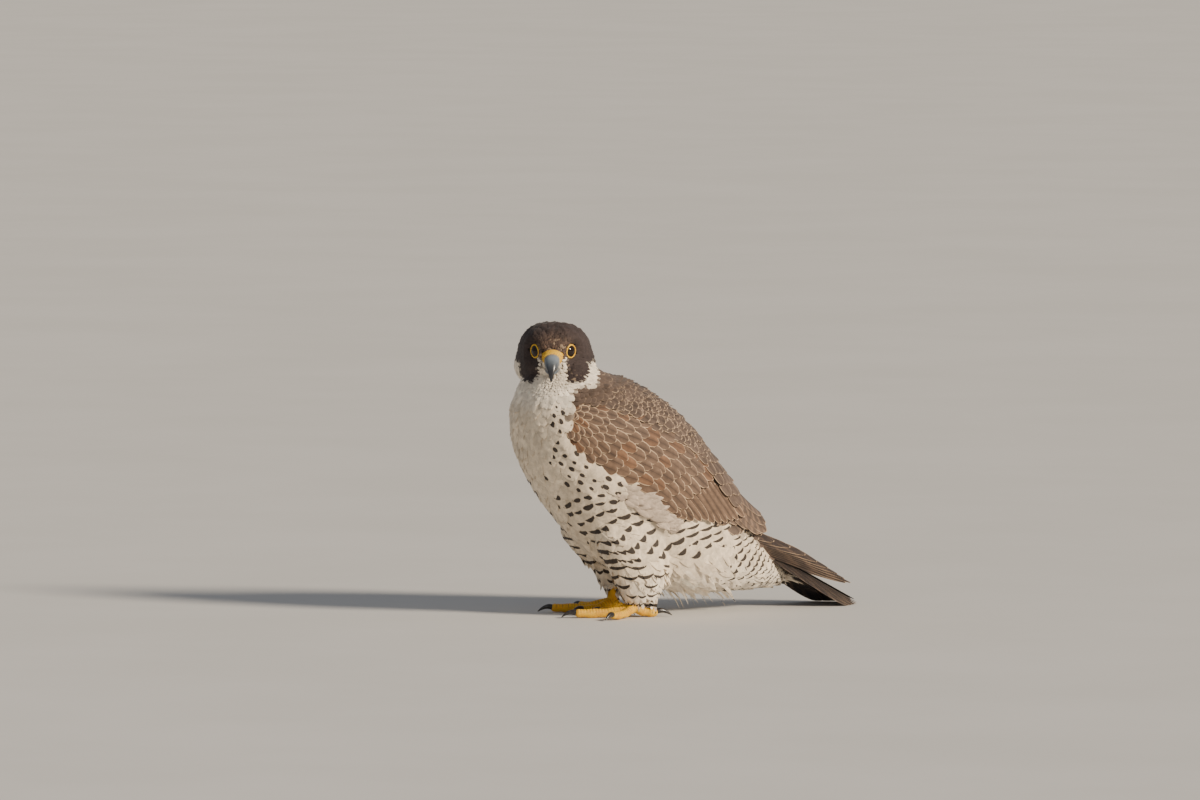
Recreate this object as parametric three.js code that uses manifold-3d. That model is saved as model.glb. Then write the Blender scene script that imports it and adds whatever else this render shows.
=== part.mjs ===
// A life-size peregrine falcon that stands on the ground and turns its head to its left.
// Millimetres, +Z up, the ground at z = 0. The bird heads along -Y and its left side is +X.
import * as THREE from "three";
import { mergeVertices } from "three/addons/utils/BufferGeometryUtils.js";
import Module from "manifold-3d";

const wasm = await Module();
wasm.setup();

const GAP = 0.3; // clear space between neighbouring pieces
const VANE = 0.55; // thickness of a feather vane
const PITCH = 0.9; // distance from one vane to the next below it

// Outline of the bird seen from its side, back and underside, from the nape to the wing tips.
// Each line holds one value for each evenly numbered station along the body.
const BACK_Y = [-34, -20, 8, 40, 70, 95, 118, 142, 168, 200, 240];
const BACK_Z = [226, 214, 204, 186, 161, 132, 106, 86, 70, 50, 28];
const BELLY_Y = [-86, -95, -98, -92, -76, -52, -12, 50, 105, 150, 206];
const BELLY_Z = [212, 192, 168, 140, 112, 80, 44, 21, 17, 15, 4];
const HALF_WIDTH = [29, 40, 53, 60, 61, 58, 52, 43, 35, 25, 13];
// The trunk is the same as far as the breast, and lies under the folded wings behind it.
const TRUNK_BACK_Y = [-34, -20, 8, 40, 70, 94, 113, 130, 144, 156, 166];
const TRUNK_BACK_Z = [226, 214, 204, 186, 160, 129, 101, 78, 58, 42, 33];
const TRUNK_BELLY_Y = [-86, -95, -98, -92, -76, -52, -12, 46, 96, 134, 162];
const TRUNK_BELLY_Z = [212, 192, 168, 140, 112, 80, 44, 21, 17, 18, 24];
const TRUNK_WIDTH = [29, 40, 53, 60, 61, 56, 48, 39, 30, 20, 8];
const SQUARENESS = 0.91; // 1 is an ellipse, and less is fuller at its corners

const HEAD_AT = [4, -65, 230.5];
const HEAD_TURN = 57.5; // degrees to the bird's left
const HEAD_PITCH = 5; // degrees, bill down
// Head stations from the face to the nape: distance forward, crown, chin and half width
const HEAD_FORWARD = [30, 25, 17, 7, -5, -17, -28, -36];
const HEAD_CROWN = [4.5, 12.5, 20, 25, 26.5, 23, 13, 0];
const HEAD_CHIN = [-9, -14, -18.5, -24, -29, -34, -36, -30];
const HEAD_WIDTH = [7, 14, 20.5, 27.5, 33, 36, 35, 25];

const EYE_RADIUS = 8.2;
const EYE_AT = [13, 10.6, 4]; // forward, aside and up from the middle of the head
const EYE_OUTWARD = 52; // degrees from straight ahead
const LID_INNER = 36; // degrees around the eye, from its axis
const LID_OUTER = 49;
const LID_THICK = 1.1;
const SOCKET = 52; // degrees to which the head opens round the eye

const FOOT_AT = { left: [28, 2], right: [-25, 9] };
const FOOT_TURN = { left: -20, right: 24 }; // degrees outward from the heading
const TARSUS_TOP = 44;
const TARSUS_RADIUS = 3.9;
const TOES = {
  inner: { angle: -34, length: 34, radius: 3.7, claw: 15 },
  middle: { angle: 0, length: 53, radius: 3.8, claw: 14 },
  outer: { angle: 48, length: 38, radius: 3.4, claw: 12 },
  hind: { angle: 184, length: 21, radius: 3.8, claw: 15 },
};

const COLOURS = {
  white: { color: 0xe6dccb, roughness: 0.85 },
  slate: { color: 0x5d5049, roughness: 0.8 },
  hood: { color: 0x453a38, roughness: 0.8 },
  flight: { color: 0x4a3f3a, roughness: 0.7 },
  barred: { color: 0xcfc3b0, roughness: 0.85 },
  yellow: { color: 0xe3ad2c, roughness: 0.5 },
  horn: { color: 0x59616b, roughness: 0.35 },
  claw: { color: 0x24211f, roughness: 0.35 },
  eye: { color: 0x1d120c, roughness: 0.1 },
};

// Smooth curve through evenly spaced values, with u from 0 to 1
function along(values, u) {
  const last = values.length - 1;
  const at = u * last;
  const i = THREE.MathUtils.clamp(Math.floor(at), 0, last - 1);
  const f = at - i;
  const b = values[i];
  const c = values[i + 1];
  const a = i > 0 ? values[i - 1] : 2 * b - c;
  const d = i + 2 <= last ? values[i + 2] : 2 * c - b;
  return b + 0.5 * f * (c - a + f * (2 * a - 5 * b + 4 * c - d + f * (3 * (b - c) + d - a)));
}

const range = (count) => Array.from({ length: count }, (_, i) => i);
const radians = THREE.MathUtils.degToRad;
const bowed = (value, power) => Math.sign(value) * Math.abs(value) ** power;

// Closed body from points and triangles, turned so that its faces point out
function solid(points, triangles) {
  const volume = triangles.reduce((sum, [a, b, c]) => {
    const across = new THREE.Vector3().crossVectors(points[b], points[c]);
    return sum + points[a].dot(across);
  }, 0);
  const faces = volume < 0 ? triangles.map(([a, b, c]) => [a, c, b]) : triangles;
  const vertProperties = new Float32Array(points.flatMap((p) => [p.x, p.y, p.z]));
  const triVerts = new Uint32Array(faces.flat());
  return new wasm.Manifold(new wasm.Mesh({ numProp: 3, vertProperties, triVerts }));
}

// Closed body from a three.js geometry
function solidOf(geometry) {
  const bare = geometry.clone();
  bare.deleteAttribute("normal");
  bare.deleteAttribute("uv");
  const merged = mergeVertices(bare, 1e-4);
  return new wasm.Manifold(
    new wasm.Mesh({
      numProp: 3,
      vertProperties: new Float32Array(merged.attributes.position.array),
      triVerts: new Uint32Array(merged.index.array),
    }),
  );
}

// Body lofted through rings of points, with a fan at each end
function loft(rings) {
  const sides = rings[0].length;
  const points = rings.flat();
  const triangles = [];
  for (let i = 0; i + 1 < rings.length; i++) {
    for (let j = 0; j < sides; j++) {
      const a = i * sides + j;
      const b = i * sides + ((j + 1) % sides);
      triangles.push([a, b, b + sides], [a, b + sides, a + sides]);
    }
  }
  for (const [first, turn] of [[0, false], [(rings.length - 1) * sides, true]]) {
    const middle = new THREE.Vector3();
    for (let j = 0; j < sides; j++) middle.addScaledVector(points[first + j], 1 / sides);
    points.push(middle);
    for (let j = 0; j < sides; j++) {
      const pair = [first + j, first + ((j + 1) % sides)];
      if (turn) pair.reverse();
      triangles.push([points.length - 1, pair[1], pair[0]]);
    }
  }
  return solid(points, triangles);
}

// Body between two grids of points, split into triangles alike on both faces
function sheet(outer, inner) {
  const rows = outer.length;
  const cols = outer[0].length;
  const points = [...outer.flat(), ...inner.flat()];
  const at = (face, i, j) => face * rows * cols + i * cols + j;
  const triangles = [];
  for (let i = 0; i + 1 < rows; i++) {
    for (let j = 0; j + 1 < cols; j++) {
      const [a, b, c, d] = [[i, j], [i + 1, j], [i + 1, j + 1], [i, j + 1]];
      triangles.push([at(0, ...a), at(0, ...b), at(0, ...c)], [at(0, ...a), at(0, ...c), at(0, ...d)]);
      triangles.push([at(1, ...a), at(1, ...c), at(1, ...b)], [at(1, ...a), at(1, ...d), at(1, ...c)]);
    }
  }
  const edge = [
    ...range(cols).map((j) => [0, j]),
    ...range(rows).slice(1).map((i) => [i, cols - 1]),
    ...range(cols - 1).reverse().map((j) => [rows - 1, j]),
    ...range(rows - 2).reverse().map((i) => [i + 1, 0]),
  ];
  edge.forEach((here, k) => {
    const next = edge[(k + 1) % edge.length];
    triangles.push([at(0, ...here), at(0, ...next), at(1, ...next)]);
    triangles.push([at(0, ...here), at(1, ...next), at(1, ...here)]);
  });
  return solid(points, triangles);
}

// Joined pieces, of which only the largest closed body is kept
function joined(pieces) {
  return largest(wasm.Manifold.union(pieces));
}

function largest(body) {
  return body.decompose().reduce((best, b) => (b.volume() > best.volume() ? b : best));
}

// Point of a body outline at station t and angle phi, 0 at the back and pi at the belly
function outlinePoint(lines, t, phi, grow = 0) {
  const [backY, backZ, bellyY, bellyZ, width] = lines.map((line) => along(line, t));
  const up = bowed(Math.cos(phi), SQUARENESS);
  const half = new THREE.Vector2((backY - bellyY) / 2, (backZ - bellyZ) / 2);
  const scale = 1 + grow / half.length();
  return new THREE.Vector3(
    (width + grow) * bowed(Math.sin(phi), SQUARENESS),
    (backY + bellyY) / 2 + half.x * up * scale,
    (backZ + bellyZ) / 2 + half.y * up * scale,
  );
}

const OUTER = [BACK_Y, BACK_Z, BELLY_Y, BELLY_Z, HALF_WIDTH];
const TRUNK = [TRUNK_BACK_Y, TRUNK_BACK_Z, TRUNK_BELLY_Y, TRUNK_BELLY_Z, TRUNK_WIDTH];

// Station and angle of the outer outline that lie at y and z in the side view
function stationOf(y, z) {
  const side = (t) => {
    const [backY, backZ, bellyY, bellyZ] = OUTER.map((line) => along(line, t));
    return (bellyY - backY) * (z - backZ) - (bellyZ - backZ) * (y - backY);
  };
  let low = 0;
  let high = 1.06; // a little past the last station, for the wing tips
  const sign = Math.sign(side(low));
  for (let n = 0; n < 40; n++) {
    const middle = (low + high) / 2;
    if (Math.sign(side(middle)) === sign) low = middle;
    else high = middle;
  }
  const [backY, backZ, bellyY, bellyZ] = OUTER.map((line) => along(line, low));
  const down = new THREE.Vector2(bellyY - backY, bellyZ - backZ);
  const share = new THREE.Vector2(y - backY, z - backZ).dot(down) / down.lengthSq();
  const up = THREE.MathUtils.clamp(1 - 2 * share, -0.998, 0.998);
  return [low, Math.acos(bowed(up, 1 / SQUARENESS))];
}

// Point at y and z in the side view, sunk by depth below the outer outline, on one side
function flank(y, z, depth, side) {
  const [t, phi] = stationOf(y, z);
  const step = 0.01;
  const at = outlinePoint(OUTER, t, phi);
  const alongBody = outlinePoint(OUTER, t + step, phi).sub(outlinePoint(OUTER, t - step, phi));
  const around = outlinePoint(OUTER, t, phi + step).sub(outlinePoint(OUTER, t, phi - step));
  const normal = around.cross(alongBody).normalize();
  if (normal.x < 0) normal.negate();
  at.addScaledVector(normal, -depth);
  at.x *= side;
  return at;
}

// Trunk with the neck, as one body
function trunkBody() {
  const sides = 22;
  const rings = range(21).map((i) =>
    range(sides).map((j) => outlinePoint(TRUNK, i / 20, (2 * Math.PI * j) / sides)),
  );
  return loft(rings);
}

// The two parts of a body above and below a plane seen from the side, through y and z with a slope
function split(body, y, z, slope, gap) {
  const normal = [0, -Math.sin(radians(slope)), Math.cos(radians(slope))];
  const offset = y * normal[1] + z * normal[2];
  const above = body.trimByPlane(normal, offset + gap / 2);
  const below = body.trimByPlane(normal.map((n) => -n), -offset + gap / 2);
  return [above, below];
}

// Point given forward, aside and up from the middle of the head
function headPoint(forward, aside, up) {
  return new THREE.Vector3(aside, -forward, up)
    .applyAxisAngle(new THREE.Vector3(1, 0, 0), radians(HEAD_PITCH))
    .applyAxisAngle(new THREE.Vector3(0, 0, 1), radians(HEAD_TURN))
    .add(new THREE.Vector3(...HEAD_AT));
}

// Rings of a body that runs forward in the head, from its upper and lower lines
function headRings(stations, sides, upperCorner = 1, lowerCorner = upperCorner) {
  return stations.map(({ top, bottom, width }) =>
    range(sides).map((j) => {
      const turn = (2 * Math.PI * j) / sides;
      const corner = Math.cos(turn) > 0 ? upperCorner : lowerCorner;
      const up = (1 + bowed(Math.cos(turn), corner)) / 2;
      const forward = THREE.MathUtils.lerp(bottom[0], top[0], up);
      const height = THREE.MathUtils.lerp(bottom[1], top[1], up);
      return headPoint(forward, width * bowed(Math.sin(turn), corner), height);
    }),
  );
}

function headBody(grow = 0) {
  const count = 14;
  const stations = range(count).map((i) => {
    const u = i / (count - 1);
    const forward = along(HEAD_FORWARD, u) + grow * (1 - 2 * u);
    return {
      top: [forward, along(HEAD_CROWN, u) + grow],
      bottom: [forward, along(HEAD_CHIN, u) - grow],
      width: along(HEAD_WIDTH, u) + grow,
    };
  });
  return loft(headRings(stations, 20, 0.9, 0.78));
}

// Groove in the face that carries the line of the mouth back under the eye
const MOUTH = [
  { top: [34, -7.4], bottom: [34, -8.1], width: 30 },
  { top: [24, -7.6], bottom: [24, -8.4], width: 30 },
  { top: [12, -9.6], bottom: [12, -10.2], width: 30 },
];
const MOUTH_DEPTH = 1.4;
const mouthGroove = () => loft(headRings(MOUTH, 8, 0.4)).subtract(headBody(-MOUTH_DEPTH));

// Direction of an eye's axis and its middle
function eyeFrame(side) {
  const [forward, aside, up] = EYE_AT;
  const middle = headPoint(forward, side * aside, up);
  const reach = EYE_RADIUS;
  const out = headPoint(
    forward + reach * Math.cos(radians(EYE_OUTWARD)),
    side * (aside + reach * Math.sin(radians(EYE_OUTWARD))),
    up,
  );
  const turn = new THREE.Quaternion().setFromUnitVectors(
    new THREE.Vector3(0, 1, 0),
    out.sub(middle).normalize(),
  );
  return new THREE.Matrix4().compose(middle, turn, new THREE.Vector3(1, 1, 1));
}

// Cone that opens the head in front of the eye
function socket(side) {
  const far = 2 * EYE_RADIUS;
  const cone = new THREE.ConeGeometry(far * Math.tan(radians(SOCKET)), far, 20);
  cone.rotateX(Math.PI).translate(0, far / 2, 0);
  return solidOf(cone.applyMatrix4(eyeFrame(side)));
}

const eyeBall = (side, grow = 0) =>
  solidOf(new THREE.SphereGeometry(EYE_RADIUS + grow, 14, 9).applyMatrix4(eyeFrame(side)));

// Ring of bare skin that hugs the eye
function eyelid(side, grow = 0) {
  const rim = (radius, angle) =>
    new THREE.Vector2(radius * Math.sin(radians(angle)), radius * Math.cos(radians(angle)));
  const inner = EYE_RADIUS + GAP - grow;
  const outer = EYE_RADIUS + GAP + LID_THICK + 3 * grow;
  const spread = (180 / Math.PI) * (grow / EYE_RADIUS);
  const profile = [
    rim(inner, LID_OUTER + spread),
    rim(outer - 0.4, LID_OUTER + spread),
    rim(outer, (LID_INNER + LID_OUTER) / 2),
    rim(outer - 0.4, LID_INNER - spread),
    rim(inner, LID_INNER - spread),
    rim(inner, LID_OUTER + spread),
  ];
  return solidOf(new THREE.LatheGeometry(profile, 14).applyMatrix4(eyeFrame(side)));
}

// Upper bill from the cere to the hooked tip, with the notch and tooth in its cutting edge
const BILL = [
  { top: [31.3, 3.8], bottom: [31.3, -7.4], width: 6.7 },
  { top: [36.5, 3.2], bottom: [37, -7.8], width: 6.3 },
  { top: [41.5, 0.9], bottom: [41, -8.8], width: 5.5 },
  { top: [45.6, -3.0], bottom: [43.4, -9.8], width: 4.4 },
  { top: [48.2, -8.0], bottom: [45.4, -9.2], width: 3.2 },
  { top: [49.4, -12.6], bottom: [47.2, -13.0], width: 2.0 },
  { top: [49.2, -18.0], bottom: [48.3, -17.6], width: 0.7 },
];
const LOWER_BILL = [
  { top: [25, -8.6], bottom: [23, -14.2], width: 6.8 },
  { top: [33, -8.4], bottom: [32.6, -13.8], width: 5.9 },
  { top: [39, -9.4], bottom: [39, -13.2], width: 4.5 },
  { top: [43, -10.8], bottom: [42.6, -12.6], width: 2.5 },
];
const CERE = [
  { top: [23.5, 7.8], bottom: [23, -8.2], width: 10.2 },
  { top: [27.5, 6.4], bottom: [27.5, -7.9], width: 8.2 },
  { top: [31, 4.7], bottom: [31, -7.8], width: 7.2 },
];
const NOSTRIL = { forward: 28.6, up: 0.6, radius: 1.2, rod: 0.5 };

// The same stations, larger all round by the gap
function swollen(stations) {
  const last = stations.length - 1;
  return stations.map(({ top, bottom, width }, i) => {
    const ahead = (i === last) - (i === 0);
    return {
      top: [top[0] + 1.4 * GAP * ahead, top[1] + 1.4 * GAP],
      bottom: [bottom[0] + 1.4 * GAP * ahead, bottom[1] - 1.4 * GAP],
      width: width + 1.4 * GAP,
    };
  });
}

function nostril(side, radius, from, to) {
  const tube = new THREE.CylinderGeometry(radius, radius, to - from, 10);
  const start = headPoint(NOSTRIL.forward, side * from, NOSTRIL.up);
  const end = headPoint(NOSTRIL.forward, side * to, NOSTRIL.up);
  const turn = new THREE.Quaternion().setFromUnitVectors(
    new THREE.Vector3(0, 1, 0),
    end.clone().sub(start).normalize(),
  );
  const place = start.add(end).multiplyScalar(0.5);
  return solidOf(
    tube.applyMatrix4(new THREE.Matrix4().compose(place, turn, new THREE.Vector3(1, 1, 1))),
  );
}

// Lower line, upper line and thickness of the covert shield of the folded wing, seen from the side
const SHIELD_LOW_Y = [-76, -72, -58, -36, -10, 14, 32];
const SHIELD_LOW_Z = [178, 156, 138, 127, 118, 103, 86];
const SHIELD_HIGH_Y = [-71, -48, -16, 16, 44, 70, 92];
const SHIELD_HIGH_Z = [188, 197, 191, 178, 161, 140, 118];
const SHIELD_THICK = [6, 8, 9, 11, 13, 15, 17];
const SHIELD_SINK = 0.6;
const SHIELD_REAR = 0.86; // share of the lines at which the shield ends and its last feathers go on

// Place in the side view at share a along the shield and share b up it
function shieldPlace(a, b) {
  return [
    THREE.MathUtils.lerp(along(SHIELD_LOW_Y, a), along(SHIELD_HIGH_Y, a), b),
    THREE.MathUtils.lerp(along(SHIELD_LOW_Z, a), along(SHIELD_HIGH_Z, a), b),
  ];
}

function shield(side, grow = 0) {
  const rows = 10;
  const cols = 6;
  const margin = grow / 60;
  const grid = (depth) =>
    range(rows).map((i) =>
      range(cols).map((j) => {
        const a = THREE.MathUtils.lerp(-margin, SHIELD_REAR + margin, i / (rows - 1));
        const b = THREE.MathUtils.lerp(-1.5 * margin, 1 + 1.5 * margin, j / (cols - 1));
        return flank(...shieldPlace(a, b), depth(a, THREE.MathUtils.clamp(b, 0, 1)), side);
      }),
    );
  const thin = (a, b) => {
    const rear = THREE.MathUtils.smoothstep(a, 0.6, SHIELD_REAR);
    const round = Math.sin(Math.PI * THREE.MathUtils.clamp(b, 0, 1)) ** 0.6;
    return THREE.MathUtils.lerp(round, Math.max(round, 0.82), rear);
  };
  const inner = (a, b) => 1.8 + (along(SHIELD_THICK, a) - 1.8) * thin(a, b) + 1.4 * grow;
  const outer = grow ? () => -8 : () => SHIELD_SINK;
  return sheet(grid(outer), grid(inner));
}

// Outline of a vane, as its half width at share s of its length
function roundVane(s) {
  return THREE.MathUtils.lerp(0.62, 1, Math.min(1, s * 2)) * Math.sqrt(Math.max(1 - s ** 6, 0.02));
}
function pointedVane(s) {
  return THREE.MathUtils.lerp(0.55, 1, Math.min(1, s * 2.5)) * Math.max((1 - s ** 3) ** 0.8, 0.07);
}

// Vane that lies in the flank from a root to a tip in the side view, at a depth for each share
function flankVane({ root, tip, width, shape, depth, side, bend = 0, rows = 8, cols = 3 }) {
  const axis = new THREE.Vector2(tip[0] - root[0], tip[1] - root[1]);
  const length = axis.length();
  const aside = new THREE.Vector2(-axis.y, axis.x).divideScalar(length);
  const grid = (extra) =>
    range(rows).map((i) => {
      const s = i / (rows - 1);
      const sag = bend * Math.sin(Math.PI * s);
      return range(cols).map((j) => {
        const off = sag + (width / 2) * shape(s) * ((2 * j) / (cols - 1) - 1);
        const y = root[0] + axis.x * s + aside.x * off;
        const z = root[1] + axis.y * s + aside.y * off;
        return flank(y, z, depth(s) + extra, side);
      });
    });
  return sheet(grid(-VANE / 2), grid(VANE / 2));
}

// Bar that holds the roots of a tier, from one place to another in the side view
function rootBar(from, to, width, shallow, deep, side) {
  const axis = new THREE.Vector2(to[0] - from[0], to[1] - from[1]);
  const aside = new THREE.Vector2(-axis.y, axis.x).normalize().multiplyScalar(width / 2);
  const grid = (depth) =>
    range(7).map((i) =>
      [-1, 1].map((edge) => {
        const y = from[0] + (axis.x * i) / 6 + aside.x * edge;
        const z = from[1] + (axis.y * i) / 6 + aside.y * edge;
        return flank(y, z, depth, side);
      }),
    );
  return sheet(grid(shallow), grid(deep));
}

// Greater coverts: one tier of rounded vanes along the rear of the shield
const COVERT_COUNT = 8;
const COVERT_WIDTH = 16;
function greaterCoverts(side) {
  return range(COVERT_COUNT).map((i) => {
    const b = 0.14 + (0.74 * i) / (COVERT_COUNT - 1);
    const root = shieldPlace(0.74, b);
    const end = shieldPlace(1, b);
    const over = 1.45;
    const tip = root.map((value, k) => value + (end[k] - value) * over);
    return flankVane({
      root,
      tip,
      width: COVERT_WIDTH,
      shape: roundVane,
      depth: (s) => THREE.MathUtils.lerp(2.6, PITCH * (i % 2), Math.min(1, s * 5)),
      side,
      rows: 5,
    });
  });
}

// Secondaries and tertials, from the leading edge up to the back: root, tip and width
const SECONDARIES = [
  { root: [26, 96], tip: [57, 74], width: 19 },
  { root: [34, 101], tip: [67, 78], width: 19 },
  { root: [44, 105], tip: [80, 80], width: 19 },
  { root: [54, 109], tip: [91, 81], width: 19 },
  { root: [64, 112], tip: [103, 81], width: 19 },
  { root: [73, 115], tip: [130, 67], width: 21 },
  { root: [81, 117], tip: [137, 77], width: 21 },
  { root: [88, 119], tip: [138, 87], width: 17 },
];
const SECONDARY_DEPTH = 1.9; // of the uppermost
function secondaries(side) {
  const last = SECONDARIES.length - 1;
  const vanes = SECONDARIES.map(({ root, tip, width }, i) =>
    flankVane({
      root,
      tip,
      width,
      shape: roundVane,
      depth: () => SECONDARY_DEPTH + PITCH * (last - i),
      side,
      bend: i > 4 ? 1.5 : 0,
      rows: 6,
    }),
  );
  return joined([...vanes, rootBar([31, 93], [90, 119.5], 6, 1.5, 8.9, side)]);
}

// Primaries, from the innermost to the outermost, whose tips step back along the wing
const PRIMARY_COUNT = 10;
const PRIMARY_ROOT = [[60, 100], [36, 90]];
const PRIMARY_TIP_Y = [136, 149, 166, 183, 198, 212, 224, 233, 241, 235];
const PRIMARY_TIP_Z = [70, 63, 56, 48, 41.5, 35.5, 29.5, 24, 18.5, 17];
const PRIMARY_LIFT = 7.6; // how far the vanes rise where no secondary covers them
function primaries(side) {
  const vanes = range(PRIMARY_COUNT).map((i) => {
    const share = i / (PRIMARY_COUNT - 1);
    const root = [0, 1].map((k) => THREE.MathUtils.lerp(PRIMARY_ROOT[0][k], PRIMARY_ROOT[1][k], share));
    const tip = [PRIMARY_TIP_Y[i], PRIMARY_TIP_Z[i]];
    const start = 9.6 + PITCH * i;
    return flankVane({
      root,
      tip,
      width: 17 - 3 * share,
      shape: pointedVane,
      depth: (s) => {
        const y = THREE.MathUtils.lerp(root[0], tip[0], s);
        return start - PRIMARY_LIFT * THREE.MathUtils.smoothstep(y, 130, 185);
      },
      side,
      rows: 6,
    });
  });
  return joined([...vanes, rootBar([37, 89], [66, 102], 7, 9.2, 18.2, side)]);
}

// Space that the flight feathers fill, which the trunk is cut clear of
function flightSpace(side) {
  const low = [[13, 101], [38, 73], [70, 64], [110, 54], [150, 41], [190, 27], [236, 7]];
  const high = [[70, 142], [92, 127], [108, 112], [128, 96], [160, 74], [196, 52], [244, 28]];
  const deep = [19.4, 19.4, 19.4, 19.2, 17.4, 13.4, 12.4];
  const grid = (depth) =>
    range(9).map((i) =>
      range(5).map((j) => {
        const u = i / 8;
        const place = [0, 1].map((k) => {
          const a = along(low.map((p) => p[k]), u);
          const b = along(high.map((p) => p[k]), u);
          return THREE.MathUtils.lerp(a, b, j / 4);
        });
        return flank(...place, depth(u), side);
      }),
    );
  return sheet(grid(() => -8), grid((u) => along(deep, u)));
}

// Tail: the middle pair lies on top and each further pair one level lower
const TAIL_ROOT = [106, 74];
const TAIL_TIP = [241, 3];
const TAIL_PAIRS = 6;
const TAIL_WIDTH = 21;
const TAIL_ARCH = 0.011; // fall towards the sides, for each square millimetre
function tail() {
  const down = new THREE.Vector2(TAIL_TIP[0] - TAIL_ROOT[0], TAIL_TIP[1] - TAIL_ROOT[1]);
  const length = down.length();
  down.normalize();
  const rise = new THREE.Vector2(-down.y, down.x);
  const place = (x, far, height) =>
    new THREE.Vector3(
      x,
      TAIL_ROOT[0] + down.x * far + rise.x * height,
      TAIL_ROOT[1] + down.y * far + rise.y * height,
    );
  const vanes = [];
  for (const side of [1, -1]) {
    for (let pair = 0; pair < TAIL_PAIRS; pair++) {
      const level = pair === 0 ? (side > 0 ? 0 : 1) : pair + 1;
      const reach = length * (1 - 0.004 * pair * pair);
      const rootX = 1 + 1.5 * pair;
      const tipX = pair === 0 ? 2.4 : 4.2 + 3.6 * pair;
      const grid = (extra) =>
        range(6).map((i) => {
          const s = i / 5;
          const middle = THREE.MathUtils.lerp(rootX, tipX, s);
          const half = (TAIL_WIDTH / 2) * THREE.MathUtils.lerp(0.5, 1, s) * roundVane(s);
          return [-1, 0, 1].map((edge) => {
            const x = middle + half * edge;
            const inner = pair === 0 ? x : Math.max(x, 0.4 + 0.1 * (edge + 1));
            const height = -PITCH * level - TAIL_ARCH * inner * inner + extra;
            return place(side * inner, reach * s, height);
          });
        });
      vanes.push(sheet(grid(VANE / 2), grid(-VANE / 2)));
    }
  }
  const block = [];
  for (const [far, half] of [[-4, 9.5], [12, 11.5]]) {
    block.push([place(half, far, 1), place(-half, far, 1), place(-half, far, -8.6), place(half, far, -8.6)]);
  }
  return joined([...vanes, loft(block)]);
}

function tailPocket() {
  const ring = (y, z, half, up, down) => [
    new THREE.Vector3(half, y, z + up),
    new THREE.Vector3(-half, y, z + up),
    new THREE.Vector3(-half, y, z - down),
    new THREE.Vector3(half, y, z - down),
  ];
  return loft([
    ring(97.6, 80, 12.8, 4, 16.4),
    ring(120, 68, 15.4, 4, 14.4),
    ring(160, 47, 24, 4, 16),
    ring(200, 26, 40, 8, 18),
  ]);
}

// Feathered thigh, from the belly to the ankle: height, place and half sizes
const THIGH = {
  left: [[100, 26, 6, 14, 24], [78, 31, -4, 19, 34], [56, 31, 1, 20.5, 33], [36, 30, 5, 18, 26], [17, 29, 6, 11, 18]],
  right: [[100, -26, 6, 14, 24], [79, -31, -4, 19, 34], [59, -30, 1, 19, 30], [41, -27, 6, 12.5, 17], [24, -25.5, 9, 7.5, 10]],
};
const HIP = 90; // height at which the thigh ends inside the belly
function thigh(side, grow = 0) {
  const lines = range(5).map((k) => THIGH[side].map((station) => station[k]));
  const rings = range(8).map((i) => {
    const [z, x, y, wide, deep] = lines.map((line) => along(line, i / 7));
    return range(16).map((j) => {
      const turn = (2 * Math.PI * j) / 16;
      return new THREE.Vector3(
        x + (wide + grow) * Math.cos(turn),
        y + (deep + grow) * Math.sin(turn),
        z - grow * (i / 7),
      );
    });
  });
  return loft(rings).trimByPlane([0, 0, -1], -(HIP + grow));
}

// Round body that follows a line of points, with a radius at each
function limb(points, radii, sides) {
  const curve = new THREE.CatmullRomCurve3(points);
  const count = points.length;
  const frames = curve.computeFrenetFrames(count - 1, false);
  const rings = range(count).map((i) => {
    const u = i / (count - 1);
    const centre = curve.getPoint(u);
    const radius = along(radii, u);
    const ahead = curve.getTangent(u);
    const across = new THREE.Vector3().crossVectors(ahead, new THREE.Vector3(0, 0, 1));
    if (across.lengthSq() < 0.05) across.copy(frames.normals[i]);
    across.normalize();
    const above = new THREE.Vector3().crossVectors(across, ahead).normalize();
    return range(sides).map((j) => {
      const turn = (2 * Math.PI * (j + 0.5)) / sides;
      return centre
        .clone()
        .addScaledVector(across, radius * Math.cos(turn))
        .addScaledVector(above, radius * Math.sin(turn));
    });
  });
  return loft(rings);
}

// Point at a distance from the foot's middle along a toe
function toePoint(side, toe, far, height) {
  const outward = side === "left" ? 1 : -1;
  const turn = radians((toe.angle + FOOT_TURN[side]) * outward);
  return new THREE.Vector3(
    FOOT_AT[side][0] + far * Math.sin(turn),
    FOOT_AT[side][1] - far * Math.cos(turn),
    height,
  );
}

function toeBody(side, toe) {
  const shares = [0, 0.14, 0.3, 0.5, 0.68, 0.85, 1];
  const heights = [8.5, 7.2, 5.0, 3.9, 3.7, 3.6, 4.4];
  const bulge = [1.15, 1.1, 1.06, 0.9, 1.02, 0.9, 0.86];
  const points = shares.map((s, i) => toePoint(side, toe, toe.length * s, heights[i]));
  return limb(points, bulge.map((b) => b * toe.radius), 7);
}

function tarsusBody(side, grow = 0) {
  const [x, y] = FOOT_AT[side];
  const points = [TARSUS_TOP + grow, 32, 20, 12, 7].map(
    (z) => new THREE.Vector3(x, y + 2.5 - 2.5 * ((TARSUS_TOP - z) / TARSUS_TOP), z),
  );
  return limb(points, [1.1, 1, 1, 1.15, 1.35].map((r) => r * TARSUS_RADIUS + grow), 10);
}

// Toes and tarsus with flat soles on the ground
function foot(side) {
  const toes = Object.values(TOES).map((toe) => toeBody(side, toe));
  const whole = joined([tarsusBody(side), ...toes]);
  return Object.values(TOES).reduce(
    (body, toe) => body.subtract(claw(side, toe, GAP)),
    whole.trimByPlane([0, 0, 1], 0),
  );
}

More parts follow.
